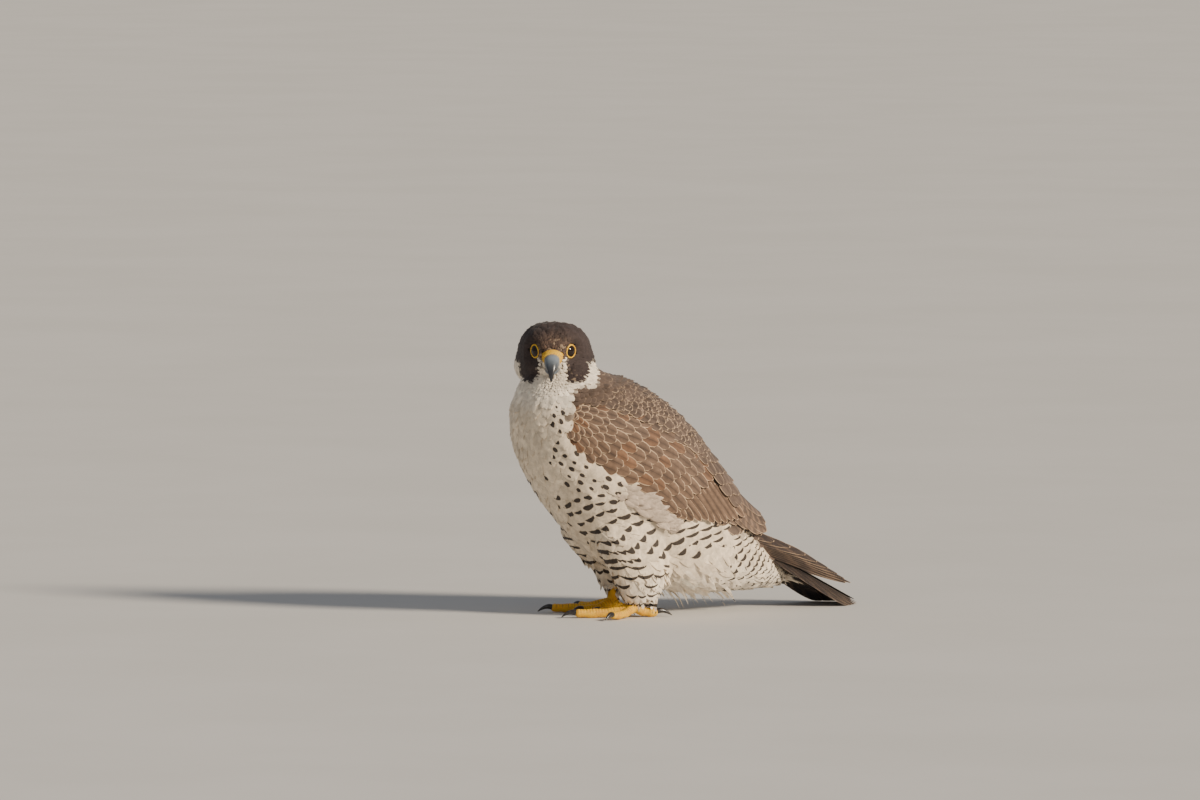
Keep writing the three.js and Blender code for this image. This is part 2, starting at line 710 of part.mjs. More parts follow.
// Curved claw that grows from the end of a toe
function claw(side, toe, grow = 0) {
  const sweep = [0, 0.36, 0.7, 1];
  const rise = [4.3, 5.3, 3.9, 1.0];
  const root = toe.length - 2.6 - grow;
  const points = sweep.map((s, i) => toePoint(side, toe, root + (toe.claw + grow) * s, rise[i]));
  const radii = [2.5, 2.1, 1.3, 0.45].map((r) => r + grow);
  return limb(points, radii, 6);
}

// Everything is made whole, cut clear of its neighbours, and then parted into named pieces
const both = [["left", 1], ["right", -1]];
const pieces = new Map();
const cutters = both.flatMap(([, side]) => [shield(side, GAP), flightSpace(side)]);
const thighs = both.map(([name]) => thigh(name, GAP + 0.05));
const trunk = wasm.Manifold.difference([trunkBody(), ...cutters, ...thighs, tailPocket()]);

const face = [
  ...both.flatMap(([, side]) => [eyeBall(side, GAP), eyelid(side, GAP), socket(side)]),
  loft(headRings(swollen(CERE), 16, 0.9)),
  loft(headRings(swollen(LOWER_BILL), 14, 0.5, 1)),
  mouthGroove(),
];
const [headAndNape, belowHead] = split(wasm.Manifold.union([headBody(), trunkBody()]), -57, 203, 12, GAP);
pieces.set("head", [largest(wasm.Manifold.difference([headAndNape, ...face, ...cutters])), "hood"]);
const neckPart = split(wasm.Manifold.difference([belowHead, ...cutters]), -40, 181, 19, GAP);
pieces.set("neck", [largest(neckPart[0]), "white"]);
const body = split(trunk, -40, 181, 19, GAP)[1];
const [torso, undertail] = split(body, 72, 50, 62, GAP);
pieces.set("torso", [largest(torso), "white"]);
pieces.set("undertail_coverts", [largest(undertail), "barred"]);

for (const [name, side] of both) {
  const coverts = joined([shield(side), ...greaterCoverts(side)]);
  pieces.set(`wing_${name}_coverts`, [coverts, "slate"]);
  pieces.set(`wing_${name}_secondaries`, [secondaries(side), "flight"]);
  pieces.set(`wing_${name}_primaries`, [primaries(side), "flight"]);
  const shin = wasm.Manifold.difference([thigh(name), tarsusBody(name, GAP)]);
  pieces.set(`thigh_${name}`, [largest(shin), "barred"]);
  pieces.set(`foot_${name}`, [largest(foot(name)), "yellow"]);
  for (const [toeName, toe] of Object.entries(TOES)) {
    pieces.set(`claw_${name}_${toeName}`, [claw(name, toe), "claw"]);
  }
  pieces.set(`eye_${name}`, [eyeBall(side), "eye"]);
  pieces.set(`eyelid_${name}`, [eyelid(side), "yellow"]);
}
pieces.set("tail", [tail().trimByPlane([0, 0, 1], 0), "flight"]);
const bill = loft(headRings(BILL, 14, 0.95, 0.45));
const cere = loft(headRings(CERE, 16, 0.9));
const holes = both.map(([, side]) => nostril(side, NOSTRIL.radius, 5.2, 12));
const rods = both.map(([, side]) => nostril(side, NOSTRIL.rod, 4, 7));
pieces.set("cere", [joined([wasm.Manifold.difference([cere, ...holes]), ...rods]), "yellow"]);
pieces.set("bill_upper", [bill, "horn"]);
pieces.set("bill_lower", [loft(headRings(LOWER_BILL, 14, 0.5, 1)), "horn"]);

const materials = Object.fromEntries(
  Object.entries(COLOURS).map(([name, looks]) => [
    name,
    new THREE.MeshStandardMaterial({ name, metalness: 0, ...looks }),
  ]),
);

function meshOf(name, [made, colour]) {
  const { vertProperties, triVerts } = made.getMesh();
  const geometry = new THREE.BufferGeometry();
  geometry.setAttribute("position", new THREE.BufferAttribute(new Float32Array(vertProperties), 3));
  geometry.setIndex(new THREE.BufferAttribute(new Uint32Array(triVerts), 1));
  const mesh = new THREE.Mesh(geometry, materials[colour]);
  mesh.name = name;
  return mesh;
}

const bird = new THREE.Group();
for (const [name, piece] of pieces) bird.add(meshOf(name, piece));
const bounds = new THREE.Box3().setFromObject(bird);
const centre = bounds.getCenter(new THREE.Vector3());
bird.position.set(-centre.x, -centre.y, 0);

const falcon = new THREE.Group();
falcon.add(bird);

export default falcon;
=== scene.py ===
"""Peregrine falcon, life size: skin, plumage, head, feet, floor, light and camera."""
import math

import bpy
import numpy as np
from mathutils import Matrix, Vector
from mathutils.bvhtree import BVHTree
from mathutils.kdtree import KDTree

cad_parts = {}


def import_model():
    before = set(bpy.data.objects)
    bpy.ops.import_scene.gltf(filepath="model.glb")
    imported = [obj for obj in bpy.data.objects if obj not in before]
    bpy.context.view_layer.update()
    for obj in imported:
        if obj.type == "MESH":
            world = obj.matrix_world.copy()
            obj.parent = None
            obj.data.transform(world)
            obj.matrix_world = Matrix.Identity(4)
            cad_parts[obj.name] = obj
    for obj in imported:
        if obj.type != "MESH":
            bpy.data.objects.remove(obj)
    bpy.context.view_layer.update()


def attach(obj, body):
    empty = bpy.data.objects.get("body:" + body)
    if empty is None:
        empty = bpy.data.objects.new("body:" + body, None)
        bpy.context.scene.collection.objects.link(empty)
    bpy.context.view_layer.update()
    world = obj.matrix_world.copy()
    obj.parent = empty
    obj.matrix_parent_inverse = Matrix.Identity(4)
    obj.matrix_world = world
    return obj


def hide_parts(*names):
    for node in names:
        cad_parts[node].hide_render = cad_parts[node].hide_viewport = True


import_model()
RNG = np.random.default_rng(20)
MM = 0.001
SHIFT = np.array([4.93, -71.56, 0.0])  # from the bird's own zero to the frame's, in mm

# The same named sizes as in the solids, in mm and degrees. A body line runs from the neck to the tail.
BACK_Y = [-34, -20, 8, 40, 70, 95, 118, 142, 168, 200, 240]
BACK_Z = [226, 214, 204, 186, 161, 132, 106, 86, 70, 50, 28]
BELLY_Y = [-86, -95, -98, -92, -76, -52, -12, 50, 105, 150, 206]
BELLY_Z = [212, 192, 168, 140, 112, 80, 44, 21, 17, 15, 4]
HALF_WIDTH = [29, 40, 53, 60, 61, 58, 52, 43, 35, 25, 13]
OUTER = [BACK_Y, BACK_Z, BELLY_Y, BELLY_Z, HALF_WIDTH]
TRUNK = [
    [-34, -20, 8, 40, 70, 94, 113, 130, 144, 156, 166],
    [226, 214, 204, 186, 160, 129, 101, 78, 58, 42, 33],
    [-86, -95, -98, -92, -76, -52, -12, 46, 96, 134, 162],
    [212, 192, 168, 140, 112, 80, 44, 21, 17, 18, 24],
    [29, 40, 53, 60, 61, 56, 48, 39, 30, 20, 8],
]
SQUARENESS = 0.91  # 1 is an ellipse, and less is fuller at its corners
HEAD_AT = np.array([4.0, -65.0, 230.5])
HEAD_TURN = 57.5
HEAD_PITCH = 5
HEAD_FORWARD = [30, 25, 17, 7, -5, -17, -28, -36]
HEAD_CROWN = [4.5, 12.5, 20, 25, 26.5, 23, 13, 0]
HEAD_CHIN = [-9, -14, -18.5, -24, -29, -34, -36, -30]
HEAD_WIDTH = [7, 14, 20.5, 27.5, 33, 36, 35, 25]
EYE_RADIUS = 8.2
EYE_AT = (13, 10.6, 4)
EYE_OUTWARD = 52
FOOT_AT = {"left": (28, 2), "right": (-25, 9)}
FOOT_TURN = {"left": -20, "right": 24}
TARSUS_TOP = 44
TARSUS_RADIUS = 3.9
TOES = {
    "inner": (-34, 34, 3.7, 15),
    "middle": (0, 53, 3.8, 14),
    "outer": (48, 38, 3.4, 12),
    "hind": (184, 21, 3.8, 15),
}
SHIELD_LOW = ([-76, -72, -58, -36, -10, 14, 32], [178, 156, 138, 127, 118, 103, 86])
SHIELD_HIGH = ([-71, -48, -16, 16, 44, 70, 92], [188, 197, 191, 178, 161, 140, 118])
THIGH = {
    "left": [(100, 26, 6, 14, 24), (78, 31, -4, 19, 34), (56, 31, 1, 20.5, 33), (36, 30, 5, 18, 26),
             (17, 29, 6, 11, 18)],
    "right": [(100, -26, 6, 14, 24), (79, -31, -4, 19, 34), (59, -30, 1, 19, 30), (41, -27, 6, 12.5, 17),
              (24, -25.5, 9, 7.5, 10)],
}
PRIMARY_TIP_Y = [136, 149, 166, 183, 198, 212, 224, 233, 241, 235]
PRIMARY_TIP_Z = [70, 63, 56, 48, 41.5, 35.5, 29.5, 24, 18.5, 17]
TAIL_ROOT = np.array([106.0, 74.0])
TAIL_TIP = np.array([241.0, 3.0])
TAIL_PAIRS = 6
TAIL_ARCH = 0.011  # fall towards the sides, for each square millimetre
BILL = [
    (31.3, 3.8, 31.3, -7.4, 6.7), (36.5, 3.2, 37, -7.8, 6.3), (41.5, 0.9, 41, -8.8, 5.5),
    (45.6, -3.0, 43.4, -9.8, 4.4), (48.2, -8.0, 45.4, -9.2, 3.2), (49.4, -12.6, 47.2, -13.0, 2.0),
    (49.2, -18.0, 48.3, -17.6, 0.7),
]
LOWER_BILL = [(25, -8.6, 23, -14.2, 6.8), (33, -8.4, 32.6, -13.8, 5.9), (39, -9.4, 39, -13.2, 4.5),
              (43, -10.8, 42.6, -12.6, 2.5)]
CERE = [(23.5, 7.8, 23, -8.2, 10.2), (27.5, 6.4, 27.5, -7.9, 8.2), (31, 4.7, 31, -7.8, 7.2)]
SIDES = (("left", 1), ("right", -1))

# Sizes of the finish, in mm
COAT = 2.6  # plumage over the skin of the body
HEAD_COAT = 1.6
SKIN_VOXEL = 0.0019  # m
CANDIDATES = 90000  # places tried for small feathers
LOWEST_ROOT = 16.5
LEG_FROM = 0.35  # share of the thigh's pattern from which a feather is the thigh's
EYE_CLEARANCE = 50  # degrees from the axis of an eye within which no feather ends
SCAPULAR_ROWS = 7
SCAPULARS_IN_ROW = 15
TOE_HEIGHTS = [8.5, 6.9, 4.9, 3.9, 3.7, 3.7, 4.4]
TOE_BULGE = [1.15, 1.1, 1.06, 0.9, 1.02, 0.9, 0.86]
CLAW_HEIGHTS = [4.3, 5.2, 4.9, 3.4, 1.0]
CLAW_RADII = [2.5, 2.3, 1.8, 1.15, 0.35]
PAD_PITCH = 11.0
BARS_ON_VANE = 8.0
BARB_PITCH = 0.9
FULL_TURN = 6.283

# Floor, light and camera
AZIMUTH = 60
ELEVATION = 4
PHOTO_SIZE = (1200, 800)
MM_PER_PIXEL = 0.87
ORIGIN_PIXEL = (616.5, 614.6)
LENS = 300
SENSOR = 36
FLOOR_REACH = 60000
FLOOR_GAP = 0.2
KEY_POWER = 5.6
FILL_POWER = 6
SKY_STRENGTH = 0.28

# Colours, in linear light. The tuples go to shader sockets, with their alpha.
CREAM = np.array([0.80, 0.67, 0.50])
WHITE = np.array([0.86, 0.76, 0.62])
BUFF = np.array([0.62, 0.46, 0.31])
HOOD = np.array([0.040, 0.027, 0.025])
HOOD_WARM = np.array([0.11, 0.068, 0.048])
MANTLE = np.array([0.120, 0.082, 0.062])
COVERT = np.array([0.185, 0.115, 0.074])
FLIGHT = np.array([0.040, 0.028, 0.025])
TAIL = np.array([0.034, 0.024, 0.021])
FRINGE = (0.56, 0.40, 0.26, 1)
MARK = (0.022, 0.015, 0.013, 1)
BAR = (0.30, 0.19, 0.12, 1)
SHAFT = (0.03, 0.02, 0.016, 1)
# painted shade: the dark colour laid into the creases between the scutes of the feet
CREASE_SHADE = (0.20, 0.09, 0.015, 1)
FLOOR_COLOURS = ((0.60, 0.585, 0.56, 1), (0.63, 0.615, 0.59, 1))
PLUME = np.array([0.55, 0.44, 0.34])
RUFOUS = np.array([1.22, 1.02, 0.85])  # what a rufous covert has of the red, green and blue of others


def along(values, u):
    """Smooth curve through evenly spaced values."""
    values = np.asarray(values, float)
    last = len(values) - 1
    at = np.asarray(u, float) * last
    i = np.clip(np.floor(at).astype(int), 0, last - 1)
    f = at - i
    b = values[i]
    c = values[i + 1]
    a = np.where(i > 0, values[np.maximum(i - 1, 0)], 2 * b - c)
    d = np.where(i + 2 <= last, values[np.minimum(i + 2, last)], 2 * c - b)
    return b + 0.5 * f * (c - a + f * (2 * a - 5 * b + 4 * c - d + f * (3 * (b - c) + d - a)))


def smooth(x, low, high):
    u = np.clip((np.asarray(x, float) - low) / (high - low), 0, 1)
    return u * u * (3 - 2 * u)


def bowed(value, power):
    return np.sign(value) * np.abs(value) ** power


def unit(v):
    return v / np.maximum(np.linalg.norm(v, axis=-1, keepdims=True), 1e-9)


def circle(count):
    """Angles evenly spaced round a circle."""
    return np.linspace(0, 2 * math.pi, count, endpoint=False)


def shares(count):
    return np.arange(count) / (count - 1)


def outline_point(lines, t, phi, grow=0.0):
    back_y, back_z, belly_y, belly_z, width = (along(line, t) for line in lines)
    up = bowed(np.cos(phi), SQUARENESS)
    half_y = (back_y - belly_y) / 2
    half_z = (back_z - belly_z) / 2
    scale = 1 + grow / np.hypot(half_y, half_z)
    return np.stack([
        (width + grow) * bowed(np.sin(phi), SQUARENESS),
        (back_y + belly_y) / 2 + half_y * up * scale,
        (back_z + belly_z) / 2 + half_z * up * scale,
    ], axis=-1)


def station_of(lines, y, z):
    """Station and angle of an outline that lie at y and z in the side view."""
    low = np.zeros_like(y, float)
    high = np.full_like(y, 1.06, float)
    for _ in range(26):
        t = (low + high) / 2
        back_y, back_z, belly_y, belly_z = (along(line, t) for line in lines[:4])
        side = (belly_y - back_y) * (z - back_z) - (belly_z - back_z) * (y - back_y)
        behind = side > 0
        low = np.where(behind, t, low)
        high = np.where(behind, high, t)
    t = (low + high) / 2
    back_y, back_z, belly_y, belly_z = (along(line, t) for line in lines[:4])
    down_y = belly_y - back_y
    down_z = belly_z - back_z
    share = ((y - back_y) * down_y + (z - back_z) * down_z) / (down_y ** 2 + down_z ** 2)
    up = np.clip(1 - 2 * share, -0.998, 0.998)
    return t, np.arccos(bowed(up, 1 / SQUARENESS))


def flank(y, z, depth, side):
    """Point at y and z in the side view, sunk by depth below the outer outline."""
    y = np.asarray(y, float)
    z = np.asarray(z, float)
    t, phi = station_of(OUTER, y, z)
    step = 0.01
    at = outline_point(OUTER, t, phi)
    lengthwise = outline_point(OUTER, t + step, phi) - outline_point(OUTER, t - step, phi)
    around = outline_point(OUTER, t, phi + step) - outline_point(OUTER, t, phi - step)
    normal = unit(np.cross(around, lengthwise))
    normal = normal * np.where(normal[..., :1] < 0, -1.0, 1.0)
    at = at - normal * np.asarray(depth, float)[..., None]
    return at * np.array([side, 1, 1])


def turned(v, axis, degrees):
    c = math.cos(math.radians(degrees))
    s = math.sin(math.radians(degrees))
    i, j = ((1, 2), (2, 0), (0, 1))[axis]
    out = np.array(v, float)
    out[..., i] = v[..., i] * c - v[..., j] * s
    out[..., j] = v[..., i] * s + v[..., j] * c
    return out


def head_point(forward, aside, up):
    v = np.stack(np.broadcast_arrays(np.asarray(aside, float), -np.asarray(forward, float), up), axis=-1)
    return turned(turned(v, 0, HEAD_PITCH), 2, HEAD_TURN) + HEAD_AT


def head_local(p):
    """Forward, aside and up from the middle of the head."""
    v = turned(turned(p - HEAD_AT, 2, -HEAD_TURN), 0, -HEAD_PITCH)
    return -v[..., 1], v[..., 0], v[..., 2]


def world(p):
    return (np.asarray(p, float) + SHIFT) * MM


def local(p):
    """Back from the scene's metres to the bird's own millimetres."""
    return np.array(p) / MM - SHIFT


# Making meshes
def make_object(name, points, faces):
    """Smooth-shaded object from points in the bird's millimetres and an array of faces with equal sides."""
    mesh = bpy.data.meshes.new(name)
    mesh.from_pydata(world(points).reshape(-1, 3), [], np.asarray(faces, int))
    mesh.validate()
    shade_smooth(mesh)
    obj = bpy.data.objects.new(name, mesh)
    bpy.context.scene.collection.objects.link(obj)
    return obj


def shade_smooth(mesh):
    mesh.polygons.foreach_set("use_smooth", np.ones(len(mesh.polygons), bool))


def grid_faces(rows, cols, ring=False):
    i, j = np.meshgrid(np.arange(rows - 1), np.arange(cols if ring else cols - 1), indexing="ij")
    i = i.ravel()
    j = j.ravel()
    k = (j + 1) % cols
    return np.stack([i * cols + j, i * cols + k, (i + 1) * cols + k, (i + 1) * cols + j], axis=1)


def tube(name, rings):
    """Closed body through rings of points, its ends drawn together."""
    rings = np.asarray(rings, float)
    first = rings[0].mean(0) + (rings[0] - rings[0].mean(0)) * 0.02
    last = rings[-1].mean(0) + (rings[-1] - rings[-1].mean(0)) * 0.02
    rings = np.concatenate([first[None], rings, last[None]])
    return make_object(name, rings, grid_faces(len(rings), rings.shape[1], ring=True))


def set_attribute(obj, name, values, kind="FLOAT"):
    values = np.asarray(values, float)
    attribute = obj.data.attributes.new(name, kind, "POINT")
    if kind == "FLOAT_COLOR":
        values = np.concatenate([values, np.ones((len(values), 1))], axis=1)
        attribute.data.foreach_set("color", values.ravel())
    else:
        attribute.data.foreach_set("value", values.ravel())


def set_uv(obj, name, uv):
    layer = obj.data.uv_layers.new(name=name)
    loops = np.empty(len(obj.data.loops), int)
    obj.data.loops.foreach_get("vertex_index", loops)
    layer.data.foreach_set("uv", np.asarray(uv, float)[loops].ravel())


def applied(obj):
    """The object with its modifiers worked in."""
    graph = bpy.context.evaluated_depsgraph_get()
    mesh = bpy.data.meshes.new_from_object(obj.evaluated_get(graph))
    obj.modifiers.clear()
    obj.data = mesh
    return obj


def joined(objects, name):
    with bpy.context.temp_override(active_object=objects[0], selected_editable_objects=objects):
        bpy.ops.object.join()
    objects[0].name = name
    objects[0].data.name = name
    return objects[0]


# Shader graph helper
def operator(name, swapped=False):
    """Method that makes a maths node from two values."""
    def method(self, other):
        values = (other, self) if swapped else (self, other)
        return self.graph.math(name, *values)
    return method


class Value:
    """Output of a node. Sums and products with it make further nodes."""

    __add__ = __radd__ = operator("ADD")
    __sub__ = operator("SUBTRACT")
    __rsub__ = operator("SUBTRACT", swapped=True)
    __mul__ = __rmul__ = operator("MULTIPLY")
    __truediv__ = operator("DIVIDE")
    __pow__ = operator("POWER")

    def __init__(self, graph, socket):
        self.graph = graph
        self.socket = socket

    def __abs__(self):
        return self.graph.math("ABSOLUTE", self)


class Graph:
    """A material and its nodes, made from the values that they pass on."""

    def __init__(self, name, roughness=0.8, **inputs):
        self.material = bpy.data.materials.new(name)
        self.material.use_nodes = True
        self.tree = self.material.node_tree
        self.bsdf = self.tree.nodes["Principled BSDF"]
        self.bsdf.inputs["Roughness"].default_value = roughness
        for key, value in inputs.items():
            self.bsdf.inputs[key.replace("_", " ").title().replace("Ior", "IOR")].default_value = value

    def link(self, value, socket):
        if isinstance(value, Value):
            self.tree.links.new(value.socket, socket)
        else:
            socket.default_value = value

    def node(self, kind, output=0, settings=None, **inputs):
        node = self.tree.nodes.new(kind)
        for key, value in (settings or {}).items():
            setattr(node, key, value)
        for key, value in inputs.items():
            self.link(value, node.inputs[key.replace("_", " ")])
        return Value(self, node.outputs[output])

    def math(self, operation, *values):
        node = self.tree.nodes.new("ShaderNodeMath")
        node.operation = operation
        for socket, value in zip(node.inputs, values):
            self.link(value, socket)
        return Value(self, node.outputs[0])

    def step(self, value, low, high, to_low=0.0, to_high=1.0):
        """Smooth change from to_low to to_high as value goes from low to high."""
        return self.node("ShaderNodeMapRange", 0, {"interpolation_type": "SMOOTHSTEP"}, Value=value,
                         From_Min=low, From_Max=high, To_Min=to_low, To_Max=to_high)

    def mix(self, factor, a, b, blend="MIX"):
        node = self.tree.nodes.new("ShaderNodeMix")
        node.data_type = "RGBA"
        node.blend_type = blend
        self.link(factor, node.inputs["Factor"])
        self.link(a, node.inputs[6])
        self.link(b, node.inputs[7])
        return Value(self, node.outputs[2])

    def dimmed(self, colour, share):
        grey = self.node("ShaderNodeCombineColor", Red=share, Green=share, Blue=share)
        return self.mix(1.0, colour, grey, "MULTIPLY")

    def attribute(self, name, output="Fac"):
        return self.node("ShaderNodeAttribute", output, {"attribute_name": name})

    def uv(self, name):
        """Both coordinates of a UV map."""
        split = self.tree.nodes.new("ShaderNodeSeparateXYZ")
        self.link(self.node("ShaderNodeUVMap", 0, {"uv_map": name}), split.inputs[0])
        return Value(self, split.outputs[0]), Value(self, split.outputs[1])

    def place(self):
        return self.node("ShaderNodeTexCoord", "Object")

    def noise(self, scale, detail=4.0):
        return self.node("ShaderNodeTexNoise", Vector=self.place(), Scale=scale, Detail=detail, Roughness=0.6)

    def bump(self, height, strength, distance):
        normal = self.node("ShaderNodeBump", Height=height, Strength=strength, Distance=distance)
        self.link(normal, self.bsdf.inputs["Normal"])

    def colour(self, value):
        self.link(value, self.bsdf.inputs["Base Color"])


def spots(g, rough):
    """Dark marks in staggered rows: drops where kind is 0, crescents where it is 1, thin bars above it."""
    kind = g.attribute("kind")
    x, y = g.uv("place")
    row = g.math("FLOOR", y)
    x = x + g.math("PINGPONG", row, 1.0) * 0.5
    cell = g.node("ShaderNodeCombineXYZ", X=g.math("FLOOR", x), Y=row)
    # each cell draws whether it has a mark, and from the same draw its place and its size
    draw = g.node("ShaderNodeTexWhiteNoise", 0, {"noise_dimensions": "2D"}, Vector=cell)
    other = g.math("FRACT", draw * 37.0)
    size = g.math("FRACT", draw * 91.0) * 0.45 + 0.75
    across = g.math("FRACT", x) - (other * 0.16 + 0.42)
    down = g.math("FRACT", y) - (other * 0.14 + 0.52) + across * across * kind * 0.85
    wide = (kind * 0.35 + 0.17) * size
    tall = (kind * -0.13 + 0.34) * size
    inside = abs(across / wide) ** 2.0 + abs(down / tall) ** 2.0 + rough * 7.0
    shown = g.math("GREATER_THAN", g.attribute("mark"), draw)
    return g.step(inside, 0.65, 1.2, 1.0, 0.0) * shown


def plumage_material():
    """Vanes: tone from each feather, with shaft, barbs, pale fringe and dark marks by place on the vane."""
    g = Graph("plumage", 0.72, sheen_weight=0.12, sheen_roughness=0.5, specular_ior_level=0.25)
    x, far = g.uv("vane")
    aside = abs(x * 2.0 - 1.0)
    rim = g.attribute("rim")
    span = g.attribute("span")
    ragged = g.noise(420.0, 3.0)
    rough = ragged * 0.14 - 0.07
    # soft mottling on each vane
    shade = g.dimmed(g.attribute("tone", "Color"), g.step(g.noise(160.0, 5.0), 0.3, 0.72, 0.78, 1.16))
    # darker middle along the shaft where the feather has a fringe
    shade = g.mix(g.step(aside, 0.0, 0.55, 1.0, 0.0) * (rim * 0.5), shade, MARK)
    # pale bars across the vane
    phase = far * BARS_ON_VANE + aside * -0.9 + (ragged * 0.7 + g.attribute("own"))
    wave = g.math("SINE", phase * FULL_TURN)
    barred = g.step(wave, 0.1, 0.75) * g.attribute("bars") * g.step(aside, 0.15, 0.5, 0.25, 1.0)
    shade = g.mix(barred, shade, BAR)
    # pale fringe of an even width in mm round the tip and edges, faint along the sides of long feathers
    gap = g.math("MINIMUM", (1.0 - aside) * g.attribute("half"), (1.0 - far) * span) + rough * 5.0
    ends = g.math("MAXIMUM", g.step(span, 45.0, 70.0, 1.0, 0.0), g.step(far, 0.76, 0.94, 0.12, 1.0))
    shade = g.mix(g.step(gap, 0.55, 1.05, 1.0, 0.0) * (rim * ends), shade, FRINGE)
    shade = g.mix(spots(g, rough) * 0.96, shade, MARK)
    shade = g.mix(g.step(aside, 0.015, 0.06, 1.0, 0.0) * (rim * 0.55), shade, SHAFT)
    g.colour(shade)
    # slanting barbs
    barbs = g.math("SINE", span * (far - aside * 0.12) * (FULL_TURN / BARB_PITCH))
    g.bump(barbs * 0.3 + g.noise(900.0, 2.0) * 0.7, 0.3, 0.0003)
    return g.material


def skin_material():
    """Down under the feathers, in their colours and with their marks."""
    g = Graph("skin_under_plumage", 0.9)
    down = g.noise(700.0)
    shade = g.mix(spots(g, down * 0.14 - 0.07), g.attribute("tone", "Color"), MARK)
    g.colour(g.dimmed(shade, g.step(down, 0.3, 0.7, 0.7, 1.0)))
    g.bump(down, 0.6, 0.0008)
    return g.material


def bare_skin_material(name, base, dark, scale):
    """Yellow scaled skin of the feet, the cere and the eye ring, with painted shade in the creases between
    scutes and along the edges of the scales.
    """
    g = Graph(name, 0.46, specular_ior_level=0.4, subsurface_weight=0.06, subsurface_scale=0.003)
    scales = g.node("ShaderNodeTexVoronoi", "Distance", {"feature": "DISTANCE_TO_EDGE"},
                    Vector=g.place(), Scale=scale)
    tint = g.mix(g.step(g.noise(130.0), 0.35, 0.7), base, dark)
    # painted shade: darker colour in the creases between the scutes, from the limb's crease attribute
    tint = g.mix(g.attribute("crease_shade") * 0.85, tint, CREASE_SHADE)
    # painted shade: the colour darkens towards half the dark tone along the edges of the scales, in the
    # grooves that the bump makes
    edge = tuple(0.5 * c for c in dark[:3]) + (1,)
    g.colour(g.mix(g.step(scales, 0.0, 0.12, 1.0, 0.0) * 0.35, tint, edge))
    g.bump(g.step(scales, 0.0, 0.2) + g.noise(1500.0) * 0.2, 0.5, 0.0004)
    return g.material


def bill_material():
    """Slate horn that darkens from the cere to the tip, with fine growth lines."""
    g = Graph("bill_horn", 0.32, coat_weight=0.25, coat_roughness=0.2)
    lines = g.noise(300.0, 3.0)
    share = g.step(g.attribute("tip") + (lines * 0.2 - 0.1), 0.12, 0.8)
    g.colour(g.mix(share, (0.20, 0.235, 0.27, 1), (0.020, 0.021, 0.025, 1)))
    g.bump(lines, 0.15, 0.0003)
    return g.material


def mottled_material(name, roughness, noise, share, colours, bump=0.0, **gloss):
    """One colour that runs into another by noise, with a bump from it where one is given."""
    g = Graph(name, roughness, **gloss)
    grain = g.noise(*noise)
    g.colour(g.mix(g.step(grain, *share), *colours))
    if bump:
        g.bump(grain, bump, 0.0003)
    return g.material


# Skin: one surface under all the plumage
def body_loft(grow):
    t, phi = np.broadcast_arrays(np.linspace(0, 1, 60)[:, None], circle(64)[None, :])
    return outline_point(TRUNK, t, phi, grow)


def ring_shares(sides, upper, lower):
    """Share of its height and of its half width at each point of a ring, squarer as upper and lower fall."""
    turn = circle(sides)[None, :]
    corner = np.where(np.cos(turn) > 0, upper, lower)
    return (1 + bowed(np.cos(turn), corner)) / 2, bowed(np.sin(turn), corner)


def columns(table, u):
    """Smooth curve through each column of a table."""
    return (along(column, u)[:, None] for column in np.array(table, float).T)


def head_loft(grow):
    u = np.linspace(0, 1, 40)[:, None]
    up, wide = ring_shares(48, 0.80, 0.78)
    crown = along(HEAD_CROWN, u) + grow
    chin = along(HEAD_CHIN, u) - grow
    forward = along(HEAD_FORWARD, u) + grow * (1 - 2 * u) + 0 * up
    height = chin + (crown - chin) * up
    aside = (along(HEAD_WIDTH, u) + grow) * wide
    # narrower over the eyes, with a brow and a hollow before it
    aside = aside * (1 - 0.10 * smooth(height, -16, 0) * smooth(forward, 14, 2))
    brow = 1.8 * np.exp(-((forward - 15) / 8) ** 2 - ((height - 10.5) / 2.8) ** 2)
    lore = 1.2 * np.exp(-((forward - 23) / 4) ** 2 - ((height - 2) / 4) ** 2)
    aside = aside + np.sign(aside) * (brow - lore) * (np.abs(aside) > 6)
    return head_point(forward, aside, height)


def thigh_loft(name, grow):
    u = np.linspace(0, 1, 20)
    z, x, y, wide, deep = columns(THIGH[name], u)
    turn = circle(32)[None, :]
    hem = np.where(u[:, None] > 0.9, -grow * 0.6, 0)
    return np.stack([
        x + (wide + grow) * np.cos(turn),
        y + (deep + grow) * np.sin(turn),
        z + 0 * turn + hem,
    ], axis=-1)


def shield_place(a, b):
    low_y, low_z = (along(line, a) for line in SHIELD_LOW)
    high_y, high_z = (along(line, a) for line in SHIELD_HIGH)
    return low_y + (high_y - low_y) * b, low_z + (high_z - low_z) * b


def wing_core(side):
    """Flesh under the coverts, as a closed pad on the flank."""
    a, b = np.meshgrid(np.linspace(0.04, 0.9, 26), np.linspace(0.05, 0.95, 14), indexing="ij")
    y, z = shield_place(a, b)
    outer = flank(y, z, np.full(a.shape, COAT + 0.6), side)
    inner = flank(y, z, np.full(a.shape, 12.0), side)
    rows, cols = a.shape
    points = np.concatenate([outer.reshape(-1, 3), inner.reshape(-1, 3)])
    faces = grid_faces(rows, cols)
    count = rows * cols
    rim = [i * cols for i in range(rows)] + [(rows - 1) * cols + j for j in range(1, cols)]
    rim += [i * cols + cols - 1 for i in range(rows - 2, -1, -1)] + list(range(cols - 2, 0, -1))
    walls = [[p, q, q + count, p + count] for p, q in zip(rim, rim[1:] + rim[:1])]
    return make_object("core", points, np.concatenate([faces, faces[:, ::-1] + count, walls]))


